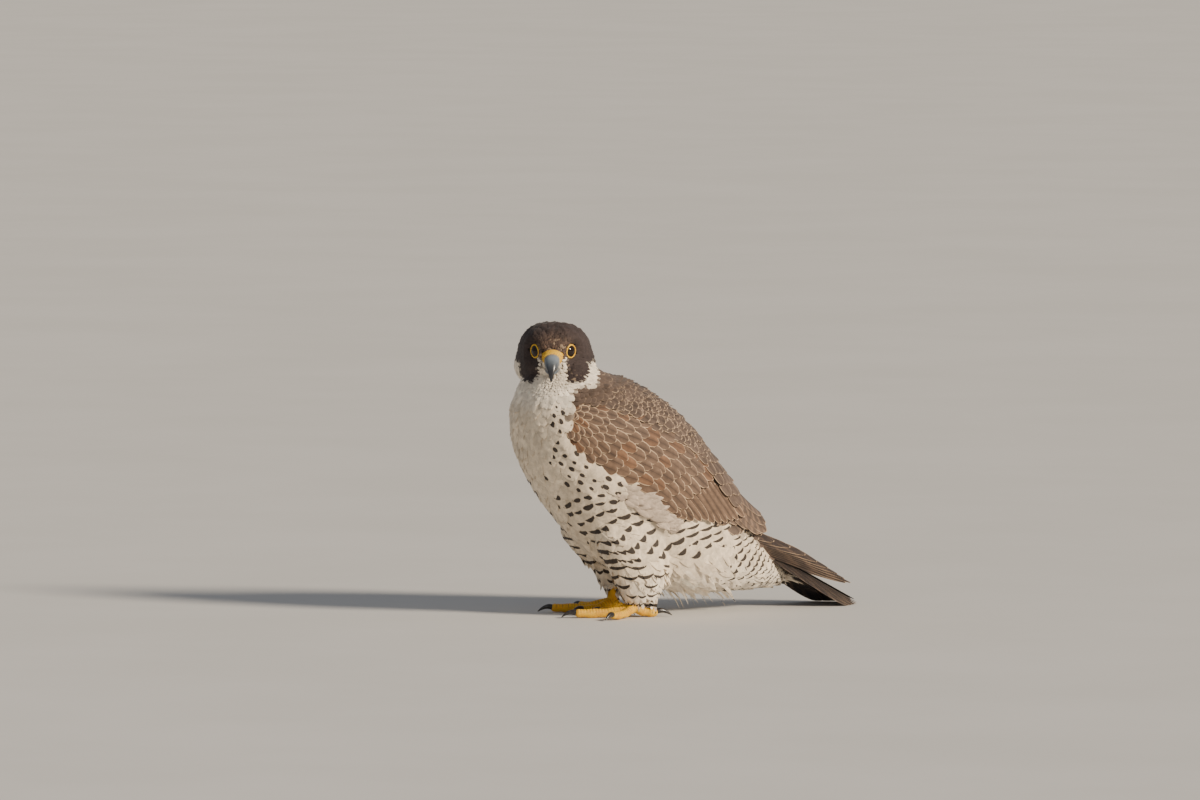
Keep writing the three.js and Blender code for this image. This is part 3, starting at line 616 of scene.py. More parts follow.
def build_skin():
    parts = [
        tube("skin", body_loft(-COAT)),
        tube("skin_head", head_loft(-HEAD_COAT)),
        *(tube("skin_thigh", thigh_loft(name, -COAT)) for name, _ in SIDES),
        *(wing_core(side) for _, side in SIDES),
    ]
    body = joined(parts, "skin")
    remesh = body.modifiers.new("one_surface", "REMESH")
    remesh.mode = "VOXEL"
    remesh.voxel_size = SKIN_VOXEL
    relax = body.modifiers.new("relax", "SMOOTH")
    relax.factor = 0.5
    relax.iterations = 7
    return applied(body)


def eye_axis(side):
    """Middle of an eye, its axis, and two directions across it."""
    forward, aside, height = EYE_AT
    turn = math.radians(EYE_OUTWARD)
    middle = head_point(forward, side * aside, height)
    out = head_point(forward + math.cos(turn), side * (aside + math.sin(turn)), height)
    axis = unit(out - middle)
    up = unit(np.array([0, 0, 1.0]) - axis * axis[2])
    return middle, axis, up, np.cross(axis, up)


def eye_angle(p, side):
    """Angle from an eye's axis and distance from its middle."""
    middle, axis, _, _ = eye_axis(side)
    v = p - middle
    reach = np.linalg.norm(v, axis=-1)
    return np.degrees(np.arccos(np.clip((v @ axis) / reach, -1, 1))), reach


def points_of(obj):
    points = np.empty(len(obj.data.vertices) * 3)
    obj.data.vertices.foreach_get("co", points)
    return points.reshape(-1, 3)


def open_sockets(obj):
    """Draws the skin in behind the rim of each eye."""
    p = local(points_of(obj))
    for _, side in SIDES:
        angle, reach = eye_angle(p, side)
        inside = smooth(angle, 68, 49)
        pulled = np.minimum(reach, (EYE_RADIUS - 0.5) * inside + reach * (1 - inside))
        middle = eye_axis(side)[0]
        near = (reach < 24)[:, None]
        p = np.where(near, middle + (p - middle) * (pulled / reach)[:, None], p)
    obj.data.vertices.foreach_set("co", world(p).ravel())


skin = build_skin()
open_sockets(skin)
skin_mesh = skin.data
skin_points = points_of(skin)
skin_mesh.calc_loop_triangles()
triangles = np.empty(len(skin_mesh.loop_triangles) * 3, int)
skin_mesh.loop_triangles.foreach_get("vertices", triangles)
triangles = triangles.reshape(-1, 3)
surface = BVHTree.FromPolygons([Vector(p) for p in skin_points], triangles.tolist())


# Where each kind of plumage grows
def head_share(p):
    """1 on the head, 0 on the body, with the change round the throat and nape."""
    above = (p[..., 2] - 203) - 0.2 * (p[..., 1] + 57)
    return smooth(above, -12, 6)


def thigh_share(p):
    near = np.zeros(p.shape[:-1])
    for name, side in SIDES:
        reach = np.hypot((p[..., 0] - side * 29) / 24, (p[..., 1] - 2) / 36)
        near = np.maximum(near, smooth(reach, 1.25, 0.9))
    return near * smooth(p[..., 2], 74, 50)


def tone_and_mark(p):
    """Colour of a feather, its fringe and its dark mark, by where it grows."""
    x, y, z = p[..., 0], p[..., 1], p[..., 2]
    count = len(p)
    t, phi = station_of(TRUNK, y, z)
    noise = RNG.normal(0, 1, count)
    tone = np.tile(CREAM, (count, 1))
    mark = np.zeros(count)
    rim = np.zeros(count)

    def paint(colour, share):
        share = np.clip(share, 0, 1)[:, None]
        tone[:] = tone * (1 - share) + np.asarray(colour) * share

    paint(WHITE, smooth(z, 60, 30))
    # back, from the nape to the rump, and the shoulders down to the leading edge of the wing
    limit = 1.22 - 0.5 * smooth(t, 0.55, 0.72)
    back = smooth(phi + 0.06 * noise - limit, 0.1, -0.1) * smooth(t, 0.0, 0.04)
    edge = np.interp(z, [172, 180, 189, 195, 201, 206], [-73, -74, -74, -72, -67, -56])
    shoulder = smooth(y - edge + noise, -1.5, 1.5) * smooth(z, 166, 174) * smooth(np.abs(x), 18, 26)
    back = np.maximum(back, shoulder)
    paint(MANTLE, back)
    rim = np.maximum(rim, back * smooth(t, 0.1, 0.26) * 0.75)
    # drops beside the wing and on the belly, crescents on the flanks, the thighs and under the tail
    front = 1 - back
    wide = np.abs(x) + 2 * noise
    beside = smooth(wide, 24, 34) * smooth(z, 194, 184)
    belly = (0.14 + 0.5 * smooth(wide, 10, 30)) * smooth(z + 3 * noise, 150, 130)
    mark = np.maximum(0.92 * beside, belly)
    mark = np.maximum(mark, smooth(z, 126, 112) * smooth(wide, 10, 22) * 0.95)
    kind = smooth(z + 3 * noise, 132, 112) * smooth(wide, 8, 22)
    leg = thigh_share(p)
    mark = mark + (0.84 - mark) * leg
    kind = kind + 0.36 * leg
    vent = smooth(y + 4 * noise, 16, 30) * smooth(z, 78, 64)
    mark = mark * (1 - vent * 0.95)
    tail_base = smooth(y, 74, 92) * front
    mark = np.maximum(mark, 0.8 * tail_base)
    kind = np.maximum(kind, 1.2 * tail_base)
    mark = mark * front * smooth(z, 12, 20)
    # hood, with white cheeks and throat
    on_head = head_share(p)
    forward, aside, up = head_local(p)
    wide = np.abs(aside)
    jag = 0.8 * noise
    zone = smooth(up + 1.5 * jag, -26, -23.5) * smooth(z, 190, 200) * smooth(forward + jag, -22, -19)
    zone = zone * smooth(wide + jag, 36, 34)
    lower_edge = -2 - 6.5 * smooth(wide, 21, 28)
    cap = smooth(up - lower_edge + jag, -1.2, 1.2)
    nape = smooth(-forward - jag, 17, 19.5) * smooth(z, 192, 204) * smooth(y, -80, -72)
    front_edge = 9.0 - 0.12 * up
    foot = -22.5 + 0.045 * (wide - 19.5) ** 2
    malar = (smooth(wide - front_edge + jag, -0.8, 0.8) * smooth(wide + jag, 27.6, 26.0)
             * smooth(up - foot + jag, -1.0, 1.0) * smooth(forward, -14, -8))
    hood = np.maximum(np.maximum(cap * zone, nape), malar)
    paint(WHITE, np.maximum(zone, smooth(z, 186, 196) * (1 - back)))
    paint(HOOD, hood)
    browning = smooth(forward, 12, 26) * cap * on_head
    paint(HOOD_WARM, browning * (0.3 + 0.7 * RNG.random(count)))
    paint(BUFF, hood * (RNG.random(count) < 0.18) * smooth(forward, 18, 28) * 0.45)
    mark = mark * (1 - np.maximum(on_head, hood))
    rim = rim * (1 - on_head)
    tone = tone * (1 + 0.07 * RNG.normal(0, 1, (count, 1)))
    return np.clip(tone, 0.01, 0.95), mark, kind, rim, back


def pattern(p, leg):
    """Column and row of the marks at a place: round and along the body, or round and down a thigh."""
    x, y, z = p[..., 0], p[..., 1], p[..., 2]
    t, phi = station_of(TRUNK, y, z)
    side = np.where(x < 0, -1, 1)
    wander = 0.35 * np.sin(phi * 5 + t * 19)
    body = np.stack([phi * side * 5.6, t * 42 + wander], axis=-1)
    round_leg = np.arctan2(x - side * 29, 2 - y)
    limb_place = np.stack([round_leg * 1.3, (100 - z) / 8.5], axis=-1)
    return np.where(leg[..., None], limb_place, body) + 40


def round_body(p, right=-1):
    """Share along the trunk and angle round it from the back, times right on the bird's right side."""
    t, phi = station_of(TRUNK, p[..., 1], p[..., 2])
    return t, phi * np.where(p[..., 0] < 0, right, 1)


def clumps(p):
    """How far the plumage stands out in soft folds along the body, 0 to 1."""
    t, phi = round_body(p, -1.13)
    folds = np.sin(phi * 11 + 2.2 * np.sin(t * 13 + 1)) * np.sin(t * 17 + 2.6 * np.sin(phi * 2.7) + 0.6)
    fine = np.sin(phi * 27 + 2.0 * np.sin(t * 31)) * np.sin(t * 44 + 3.1 * np.sin(phi * 6.1))
    forward, aside, up = head_local(p)
    tufts = np.sin(aside * 0.52 + 1.1 * np.sin(forward * 0.3))
    tufts = tufts * np.sin(forward * 0.43 + 1.7 * np.sin(aside * 0.37))
    on_head = head_share(p)
    on_crown = on_head * smooth(up, 12, 22)
    return 0.5 + (0.32 * folds + 0.18 * fine) * (1 - on_head) + 0.5 * tufts * on_crown


def sizes(p, back):
    """Spacing, length and width of the feathers at a place, in mm."""
    on_head = head_share(p)
    forward, _, up = head_local(p)
    t, _ = station_of(TRUNK, p[..., 1], p[..., 2])
    spacing = along([3.0, 3.4, 3.8, 4.4, 5.0, 5.6, 5.8, 5.8, 6.2, 6.2, 5.8], t)
    length = along([10, 13, 16, 19, 23, 26, 27, 28, 32, 32, 24], t)
    width = along([7, 8.5, 10, 12, 14, 15.5, 16, 16, 15, 14, 11], t)
    leg = thigh_share(p)
    length = length + (20 - length) * leg * 0.8
    spacing = spacing + (4.4 - spacing) * leg
    width = width + (11.5 - width) * leg
    width = width * (1 + 0.1 * back)
    length = length * (1 - 0.25 * back)
    spacing = spacing * (1 - 0.08 * back)
    face = smooth(forward, 6, 22)
    head_spacing = 2.1 - 0.75 * face
    spacing = spacing + (head_spacing - spacing) * on_head
    length = length + ((6.4 - 3.4 * face) - length) * on_head
    width = width + ((4.2 - 1.9 * face) - width) * on_head
    return spacing, length, width


def lie(p, normal):
    """Direction in which feathers lie at a place, along the skin."""
    t, phi = round_body(p)
    body = unit(outline_point(TRUNK, t + 0.02, phi) - outline_point(TRUNK, t - 0.02, phi))
    away = unit(p - head_point(34.0, 0.0, -1.0))
    share = head_share(p)[..., None]
    flow = body * (1 - share) + away * share
    leg = thigh_share(p)[..., None]
    flow = flow * (1 - leg) + np.array([0, 0.25, -1.0]) * leg
    flow = flow - normal * (flow * normal).sum(-1, keepdims=True)
    return unit(flow)


def search_tree(points):
    tree = KDTree(len(points))
    for k, p in enumerate(points):
        tree.insert(Vector(p), k)
    tree.balance()
    return tree


def under_wing(p):
    """Places that the folded wing, the bill or an eye covers."""
    a, b = np.meshgrid(np.linspace(0.06, 0.98, 60), np.linspace(0.10, 0.80, 24), indexing="ij")
    ys, zs = shield_place(a, b)
    tree = search_tree([(y, z, 0) for y, z in zip(ys.ravel(), zs.ravel())])
    near = np.array([tree.find(Vector((q[1], q[2], 0)))[2] for q in p])
    covered = (near < 4.0) & (np.abs(p[..., 0]) > 24)
    for _, side in SIDES:
        angle, reach = eye_angle(p, side)
        covered |= (angle < EYE_CLEARANCE) & (reach < 20)
    forward, aside, up = head_local(p)
    covered |= (forward > 24) & (np.abs(aside) < 8) & (up > -9) & (up < 7)
    covered |= (forward > 25) & (np.abs(aside) < 6) & (up > -15) & (up <= -9)
    return covered


def scattered(candidates):
    """Places on the skin, evenly but not regularly spaced, with their normals."""
    a, b, c = (skin_points[triangles[:, k]] for k in range(3))
    cross = np.cross(b - a, c - a)
    area = np.linalg.norm(cross, axis=1)
    middle = local((a + b + c) / 3)
    spacing, _, _ = sizes(middle, np.zeros(len(middle)))
    weight = area / spacing ** 2
    pick = RNG.choice(len(area), candidates, p=weight / weight.sum())
    u, v = RNG.random((2, candidates))
    flip = u + v > 1
    u = np.where(flip, 1 - u, u)[:, None]
    v = np.where(flip, 1 - v, v)[:, None]
    points = local(a[pick] + (b[pick] - a[pick]) * u + (c[pick] - a[pick]) * v)
    normals = unit(cross[pick])
    _, phi = station_of(TRUNK, points[:, 1], points[:, 2])
    spacing, _, _ = sizes(points, smooth(phi, 1.32, 1.12))
    tree = search_tree(points)
    alive = np.ones(candidates, bool)
    kept = []
    for k in range(candidates):
        if not alive[k]:
            continue
        kept.append(k)
        for _, other, _ in tree.find_range(Vector(points[k]), spacing[k]):
            alive[other] = False
    return points[kept], normals[kept]


# Feathers
def vane_grid(rows, cols, tip_power, root_width=0.5):
    """Shares along and across a vane, and its half width at each row."""
    s = np.linspace(0, 1, rows) ** 0.85
    widening = root_width + (1 - root_width) * np.clip(s * 2.2, 0, 1)
    half = widening * np.sqrt(np.maximum(1 - s ** tip_power, 0.0))
    half[-1] = 0.12
    return s, np.linspace(-1, 1, cols), half


def skin_feathers(name, roots, normals, *, tone, mark, kind, rim, length, width, leg, tip_power, lift,
                  cols=3, fray=0.0, free=0.0, swell=0.0, droop=0.0):
    """Joined vanes that lie on the skin and end proud of it, or free where it curves away."""
    count = len(roots)
    rows = 6
    s, w, half = vane_grid(rows, cols, tip_power)
    ahead = unit(lie(roots, normals) + droop * np.array([0, 0.15, -1.0]))
    spin = RNG.normal(0, 0.10, count)[:, None]
    aside = np.cross(normals, ahead)
    ahead, aside = ahead * np.cos(spin) + aside * np.sin(spin), aside * np.cos(spin) - ahead * np.sin(spin)
    length = length * RNG.uniform(0.88, 1.12, count)
    width = width * RNG.uniform(0.88, 1.12, count)
    length = clear_of_eyes(roots, ahead, length)
    grid_s = np.broadcast_to(s[None, :, None], (count, rows, cols)).copy()
    if fray:
        grid_s[:, -1, :] += RNG.normal(0, fray, (count, cols))
        grid_s[:, -2, :] += RNG.normal(0, fray * 0.6, (count, cols))
    off = half[None, :, None] * w[None, None, :] * width[:, None, None] / 2
    far = grid_s * length[:, None, None]
    points = (roots[:, None, None, :] + ahead[:, None, None, :] * far[..., None]
              + aside[:, None, None, :] * off[..., None])
    tall = 0.35 + (lift * RNG.uniform(0.75, 1.25, count))[:, None, None] * grid_s ** 1.3
    tall = tall - 0.35 * (w ** 2)[None, None, :]
    flat = points.reshape(-1, 3)
    tall = tall.ravel() + swell * clumps(flat)
    out = np.empty_like(flat)
    for k, p in enumerate(world(flat)):
        near, normal, _, _ = surface.find_nearest(Vector(p))
        out[k] = local(near) + np.array(normal) * tall[k]
    out = out.reshape(count, rows, cols, 3)
    loose = free * (grid_s ** 2)[..., None]
    out = out * (1 - loose) + (points + normals[:, None, None, :] * 1.2) * loose
    out[..., 2] = np.maximum(out[..., 2], 2.0)
    obj = feather_object(name, out, s, w, tone=tone, span=length, width=width, roots=roots, mark=mark,
                         rim=rim)
    each = rows * cols
    set_attribute(obj, "kind", np.repeat(kind, each))
    set_uv(obj, "place", pattern(out.reshape(-1, 3), np.repeat(leg, each)))


def clear_of_eyes(roots, ahead, length):
    """Lengths of feathers, cut short where they would end over an eye."""
    for _, side in SIDES:
        angle, reach = eye_angle(roots, side)
        ending, _ = eye_angle(roots + ahead * length[:, None], side)
        over = (reach < 20) & (ending < EYE_CLEARANCE) & (angle < 90)
        share = (angle - EYE_CLEARANCE + 2) / np.maximum(angle - ending, 1)
        length = np.where(over, length * np.clip(share, 0.3, 1), length)
    return length


def feather_object(name, grids, s, w, *, tone, span, width, roots=None, mark=0.0, rim=0.0, bars=0.0):
    """Object from one grid of points for each feather, with its colours and its maps.

    On the map for baking, feathers lie by their roots on the body, or else side by side in strips.
    """
    count, rows, cols, _ = grids.shape
    each = rows * cols
    faces = (grid_faces(rows, cols)[None] + (np.arange(count) * each)[:, None, None]).reshape(-1, 4)
    obj = make_object(name, grids.reshape(-1, 3), faces)
    set_attribute(obj, "tone", np.repeat(tone, each, axis=0), "FLOAT_COLOR")
    values = dict(mark=mark, rim=rim, own=RNG.random(count), span=span, half=width / 2, bars=bars)
    for key, value in values.items():
        set_attribute(obj, key, np.repeat(np.broadcast_to(value, count), each))
    u = np.tile((w + 1) / 2, rows * count)
    v = np.tile(np.repeat(s, cols), count)
    vane = np.stack([u, v], axis=1)
    set_uv(obj, "vane", vane)
    if roots is None:
        strip = np.repeat(np.arange(count), each) + 0.06 + 0.88 * u
        patch = np.stack([0.01 + strip * 0.98 / count, 0.02 + 0.96 * v], axis=1)
    else:
        patch = np.repeat(unwrap(roots), each, axis=0) + (vane - 0.5) * 0.003
    set_uv(obj, "OFBake", patch)
    obj.data.materials.append(PLUMAGE)
    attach(obj, "root")
    return obj


def unwrap(p):
    """Place on an unwrap of the body: round the body across, and along it upward."""
    t, phi = round_body(p)
    on_head = head_share(p) > 0.5
    forward, aside, up = head_local(p)
    around = np.arctan2(aside, up + 3)
    u = np.where(on_head, 0.5 + 0.46 * around / math.pi, 0.5 + 0.46 * phi / math.pi)
    v = np.where(on_head, 0.72 + 0.24 * (forward + 36) / 72, 0.03 + 0.64 * t)
    return np.clip(np.stack([u, v], axis=1), 0.01, 0.99)


PLUMAGE = plumage_material()
SKIN = skin_material()

skin_place = local(skin_points)
skin_tone, skin_mark, skin_kind, _, _ = tone_and_mark(skin_place)
set_attribute(skin, "tone", skin_tone, "FLOAT_COLOR")
set_attribute(skin, "mark", skin_mark)
set_attribute(skin, "kind", skin_kind)
set_uv(skin, "place", pattern(skin_place, thigh_share(skin_place) > LEG_FROM))
skin.data.materials.clear()
skin.data.materials.append(SKIN)
shade_smooth(skin.data)
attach(skin, "root")
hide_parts("head", "neck", "torso", "undertail_coverts", "thigh_left", "thigh_right")


def dress_body():
    """Small feathers over the head and body, in groups of one shape each."""
    roots, normals = scattered(CANDIDATES)
    keep = ~under_wing(roots) & (roots[:, 2] > LOWEST_ROOT)
    roots = roots[keep]
    normals = normals[keep]
    tone, mark, kind, rim, back = tone_and_mark(roots)
    _, length, width = sizes(roots, back)
    on_head = head_share(roots) > 0.5
    leg = (thigh_share(roots) > LEG_FROM) & ~on_head
    low = (roots[:, 1] > 20) & (back < 0.5) & ~leg & ~on_head
    upper = (back >= 0.5) & ~on_head
    front = ~(on_head | leg | low | upper)
    fluff = low & (roots[:, 1] < 92) & (roots[:, 2] < 62) & (RNG.random(len(roots)) < 0.5)
    groups = (
        ("plumage_head", on_head, dict(tip_power=5.0, lift=0.9, swell=1.6)),
        ("plumage_breast", front, dict(tip_power=3.5, lift=1.5, fray=0.03, swell=2.0)),
        ("plumage_back", upper, dict(tip_power=4.5, lift=3.4, cols=5)),
        ("plumage_thighs", leg, dict(tip_power=3.0, lift=1.6, fray=0.08, free=0.8, swell=1.4)),
        ("plumage_vent", low, dict(tip_power=2.6, lift=2.0, fray=0.08, free=0.75, swell=2.6)),
        ("plumage_wisps", fluff, dict(tip_power=1.6, lift=2.6, fray=0.1, free=1.0, swell=2.6, droop=0.55)),
    )
    every = dict(tone=tone, mark=mark, kind=kind, rim=rim, length=length, width=width, leg=leg)
    for name, choice, looks in groups:
        own = {key: values[choice] for key, values in every.items()}
        if name == "plumage_wisps":
            own["length"] = own["length"] * RNG.uniform(0.5, 0.95, int(choice.sum()))
            own["width"] = own["width"] * 0.42
        skin_feathers(name, roots[choice], normals[choice], **own, **looks)


def flank_feathers(name, side, root, tip, *, width, depth, tone, rows=8, cols=5, tip_power=5.0,
                   root_width=0.55, bend=0.0, lean=0.0, strips=False, **looks):
    """Vanes on one side of the bird, from their roots and tips in the side view.

    They lie at a depth below the outline, which is given for the root and the tip or as a function of y.
    """
    count = len(root)
    width = np.broadcast_to(width, count)
    s, w, half = vane_grid(rows, cols, tip_power, root_width)
    axis = tip - root
    length = np.linalg.norm(axis, axis=1, keepdims=True)
    aside = np.stack([-axis[:, 1], axis[:, 0]], axis=1) / length
    bow = bend * np.sin(math.pi * s)
    off = (bow[None, :, None]
           + half[None, :, None] * (w + lean * (1 - w ** 2))[None, None, :] * width[:, None, None] / 2)
    place = (root[:, None, None, :] + axis[:, None, None, :] * s[None, :, None, None]
             + aside[:, None, None, :] * off[..., None])
    if callable(depth):
        deep = depth(place[..., 0])
    else:
        first, last = (np.broadcast_to(value, count)[:, None, None] for value in depth)
        deep = first + (last - first) * s[None, :, None]
    deep = deep + 0.3 * (w ** 2)[None, None, :]
    grids = flank(place[..., 0], place[..., 1], deep, side)
    return feather_object(name, grids, s, w, tone=tone, span=length[:, 0], width=width,
                          roots=None if strips else grids[:, 0, cols // 2, :], **looks)


def varied(colour, count, spread=0.10):
    return np.clip(np.asarray(colour) * (1 + spread * RNG.normal(0, 1, (count, 1))), 0.01, 0.95)


def curve(*lines, u):
    """Points of the side view along a curve, from the values of y and of z."""
    return np.stack([along(line, u) for line in lines], axis=1)


def dress_coverts(name, side):
    """Small coverts in tiers over the wing, larger towards the rear."""
    roots, tips, widths, heights = [], [], [], []
    at = 0.0
    row = 0
    while at < 0.86:
        gap = 0.044 + 0.046 * at
        low, high = (np.stack(shield_place(at, end)) for end in (0.0, 1.0))
        pitch = 4.8 + 4.2 * float(smooth(at, 0, 0.45))
        across = max(3, round(float(np.linalg.norm(high - low)) / pitch))
        for k in range(across):
            height = (k + 0.5 * (row % 2) + 0.25) / across + RNG.normal(0, 0.012)
            start = max(at - gap, -0.012) + RNG.normal(0, 0.006)
            roots.append(np.array(shield_place(start, height)))
            tips.append(np.array(shield_place(start + 2.35 * gap, height)) + RNG.normal(0, 0.8, 2))
            widths.append(pitch * RNG.uniform(1.2, 1.5))
            heights.append(height)
        at += gap
        row += 1
    count = len(roots)
    grey = smooth(heights, 0.3, 0.9)[:, None] * 0.5 + 0.3 * RNG.random((count, 1))
    tone = varied(COVERT, count, 0.08) * (1 - grey) + MANTLE * 1.15 * grey
    tone = np.where(RNG.random((count, 1)) < 0.16, tone * RUFOUS, tone)
    coverts = flank_feathers(f"coverts_{name}", side, np.array(roots), np.array(tips), width=np.array(widths),
                             depth=(2.9, 0.15 + 0.3 * RNG.random(count)), tone=tone,
                             rim=RNG.uniform(0.6, 1, count), cols=7, root_width=0.7, tip_power=6.0)
    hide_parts(f"wing_{name}_coverts")


def dress_greater_coverts(name, side):
    count = 11
    u = shares(count)
    roots = curve([4, 30, 54, 76], [104, 113, 118, 120], u=u)
    tips = curve([33, 58, 82, 106], [88, 83, 80, 84], u=u) + RNG.normal(0, 0.7, (count, 2))
    flank_feathers(f"greater_coverts_{name}", side, roots, tips, width=RNG.uniform(10, 12, count),
                   depth=(3.2, 0.35 + 0.09 * np.arange(count)[::-1]), tone=varied(COVERT * 0.9, count),
                   rim=0.9, bars=0.15, rows=14, cols=7, strips=True)


def dress_secondaries(name, side):
    """Secondaries and, above them, the tertials."""
    count = 11
    u = shares(count)
    roots = curve([26, 44, 64, 81, 90], [96, 105, 112, 117, 120], u=u)
    tips = curve([50, 72, 104, 133, 139], [71, 77, 80, 69, 86], u=u)
    deep = 1.6 + 0.52 * np.arange(count)[::-1]
    vanes = flank_feathers(f"secondaries_{name}", side, roots, tips, width=20.0, depth=(deep + 0.2, deep),
                           tone=varied(MANTLE, count), rim=0.8, bars=np.where(u > 0.6, 0.5, 0.3), rows=22,
                           cols=9, root_width=0.7, tip_power=7.0, strips=True, bend=1.0)
    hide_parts(f"wing_{name}_secondaries")


def dress_primaries(name, side):
    count = len(PRIMARY_TIP_Y)
    share = shares(count)
    roots = np.stack([60 - 24 * share, 100 - 10 * share], axis=1)
    tips = np.stack([PRIMARY_TIP_Y, PRIMARY_TIP_Z], axis=1)
    top = (9.6 + 0.9 * np.arange(count))[:, None, None]
    vanes = flank_feathers(f"primaries_{name}", side, roots, tips, width=17 - 3 * share,
                           depth=lambda y: top - 7.6 * smooth(y, 130, 185), tone=varied(FLIGHT, count),
                           rim=0.7, bars=0.16, rows=34, cols=9, tip_power=3.2, root_width=0.6, strips=True,
                           lean=0.2)
    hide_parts(f"wing_{name}_primaries")


def dress_shoulders(name, side):
    """Scapulars that lie over the upper edge of the wing."""
    roots, tips, widths = [], [], []
    for row in range(SCAPULAR_ROWS):
        for k in range(SCAPULARS_IN_ROW):
            u = (k + 0.5 * (row % 2)) / SCAPULARS_IN_ROW
            drop = 14 - 4.6 * row
            length = 13 + 10 * u + RNG.normal(0, 1)
            root = np.array([along([-40, -12, 20, 48, 76, 100], u) - drop * 0.25,
                             along([207, 204, 191, 171, 145, 118], u) - drop * 0.95])
            slope = 0.58 + 0.34 * u + 0.04 * (SCAPULAR_ROWS - 1 - row)
            roots.append(root)
            tips.append(root + np.array([math.cos(slope), -math.sin(slope)]) * length)
            widths.append((8.5 + 3.5 * u) * RNG.uniform(0.85, 1.15))
    count = len(roots)
    roots = np.array(roots) + RNG.normal(0, 0.6, (count, 2))
    flank_feathers(f"scapulars_{name}", side, roots, np.array(tips), width=np.array(widths),
                   depth=(2.0, RNG.uniform(-1.3, -0.3, count)), tone=varied(MANTLE * 1.1, count, 0.16),
                   rim=RNG.uniform(0.25, 0.8, count), rows=9, cols=7, root_width=0.6)


def dress_flanks(name, side):
    """Soft pale plumes of the flank that puff up over the lower edge of the wing."""
    count = 110
    u = RNG.random(count)
    row = RNG.random(count)
    roots = np.stack([-34 + 62 * u - 3 * row, 122 - 38 * u - 10 * row], axis=1)
    slope = np.radians(RNG.uniform(-38, 22, count))
    length = RNG.uniform(11, 20, count) * (0.65 + 0.35 * np.sin(math.pi * u))
    tips = roots + np.stack([np.cos(slope), np.sin(slope)], axis=1) * length[:, None]
    tone = varied(PLUME, count)
    flank_feathers(f"flank_plumes_{name}", side, roots, tips, width=RNG.uniform(4.5, 8, count),
                   depth=(1.4, 0.3 - 2.6 * np.sin(math.pi * u) * RNG.random(count)), tone=tone,
                   tip_power=1.6, root_width=0.5)


def dress_tail():
    """Tail feathers in a low arch, the middle pair on top."""
    down = TAIL_TIP - TAIL_ROOT
    length = np.linalg.norm(down)
    down = down / length
    rise = np.array([-down[1], down[0]])
    s, w, half = vane_grid(36, 9, 8.0)
    grids = []
    for side in (1, -1):
        for pair in range(TAIL_PAIRS):
            level = (0 if side > 0 else 1) if pair == 0 else pair + 1
            reach = length * (1 - 0.004 * pair * pair)
            middle = (1 + 1.5 * pair) * (1 - s) + (2.4 if pair == 0 else 4.2 + 3.6 * pair) * s
            x = middle[:, None] + half[:, None] * w[None, :] * 10.5 * (0.5 + 0.5 * s)[:, None]
            if pair:
                x = np.maximum(x, 0.4 + 0.1 * (w[None, :] + 1))
            height = -0.9 * level - TAIL_ARCH * x * x - 0.25 * w[None, :] ** 2
            y, z = (TAIL_ROOT[k] + down[k] * reach * s[:, None] + rise[k] * height for k in (0, 1))
            grids.append(np.stack([side * x, y, np.maximum(z, 0.15)], axis=-1))
    vanes = feather_object("tail_feathers", np.array(grids), s, w, tone=varied(TAIL, len(grids), 0.06),
                           span=length, width=20.0, rim=0.45, bars=0.3)
    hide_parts("tail")


dress_body()
for wing_name, wing_side in SIDES:
    for dress in (dress_coverts, dress_greater_coverts, dress_secondaries, dress_primaries):
        dress(wing_name, wing_side)
for dress in (dress_shoulders, dress_flanks):
    for wing_name, wing_side in SIDES:
        dress(wing_name, wing_side)
dress_tail()


# Head: eyes, lids, cere and bill
def head_rings(stations, sides, upper, lower, steps):
    """Rings of points of the bill or cere, each from its top, its bottom and its half width."""
    top_f, top_u, bottom_f, bottom_u, width = columns(stations, np.linspace(0, 1, steps))
    up, wide = ring_shares(sides, upper, lower)
    return head_point(bottom_f + (top_f - bottom_f) * up, width * wide, bottom_u + (top_u - bottom_u) * up)


BARE = bare_skin_material("bare_yellow_skin", (0.86, 0.49, 0.025, 1), (0.72, 0.36, 0.02, 1), 620.0)
CERE_SKIN = bare_skin_material("cere_yellow", (0.87, 0.52, 0.04, 1), (0.76, 0.40, 0.03, 1), 900.0)
HORN = bill_material()
CLAW = mottled_material("claw_horn", 0.3, (420.0, 3.0), (0.4, 0.8),
                        ((0.012, 0.010, 0.010, 1), (0.05, 0.042, 0.038, 1)), bump=0.2,
                        coat_weight=0.3, coat_roughness=0.15)
EYE = mottled_material("eye_dark_brown", 0.12, (600.0,), (0.35, 0.7),
                       ((0.008, 0.005, 0.004, 1), (0.022, 0.011, 0.007, 1)),
                       specular_ior_level=0.25, coat_weight=0.25, coat_roughness=0.03)


def finish_piece(obj, material, node):
    obj.data.materials.clear()
    obj.data.materials.append(material)
    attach(obj, "root")
    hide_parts(node)


def build_bill():
    upper = tube("bill_upper_horn", head_rings(BILL, 32, 0.95, 0.45, 40))
    forward, _, up = head_local(local(points_of(upper)))
    set_attribute(upper, "tip", np.clip((forward - 33) / 17 * 0.55 + (4 - up) / 21 * 0.45, 0, 1))
    finish_piece(upper, HORN, "bill_upper")
    lower = tube("bill_lower_horn", head_rings(LOWER_BILL, 24, 0.5, 1.0, 24))
    set_attribute(lower, "tip", np.full(len(lower.data.vertices), 0.45))
    finish_piece(lower, HORN, "bill_lower")


def build_cere():
    cere = tube("cere_skin", head_rings(CERE, 64, 0.9, 0.9, 26))
    forward, aside, up = head_local(local(points_of(cere)))
    away = np.hypot(forward - 28.6, up - 0.6)
    pit = np.exp(-(away / 1.25) ** 4) * 1.6 - np.exp(-(away / 0.55) ** 2) * 1.2
    swell = np.exp(-((away - 2.1) / 0.8) ** 2) * 0.25
    aside = aside - np.sign(aside) * (pit - swell) * (np.abs(aside) > 4)
    cere.data.vertices.foreach_set("co", world(head_point(forward, aside, up)).ravel())
    finish_piece(cere, CERE_SKIN, "cere")


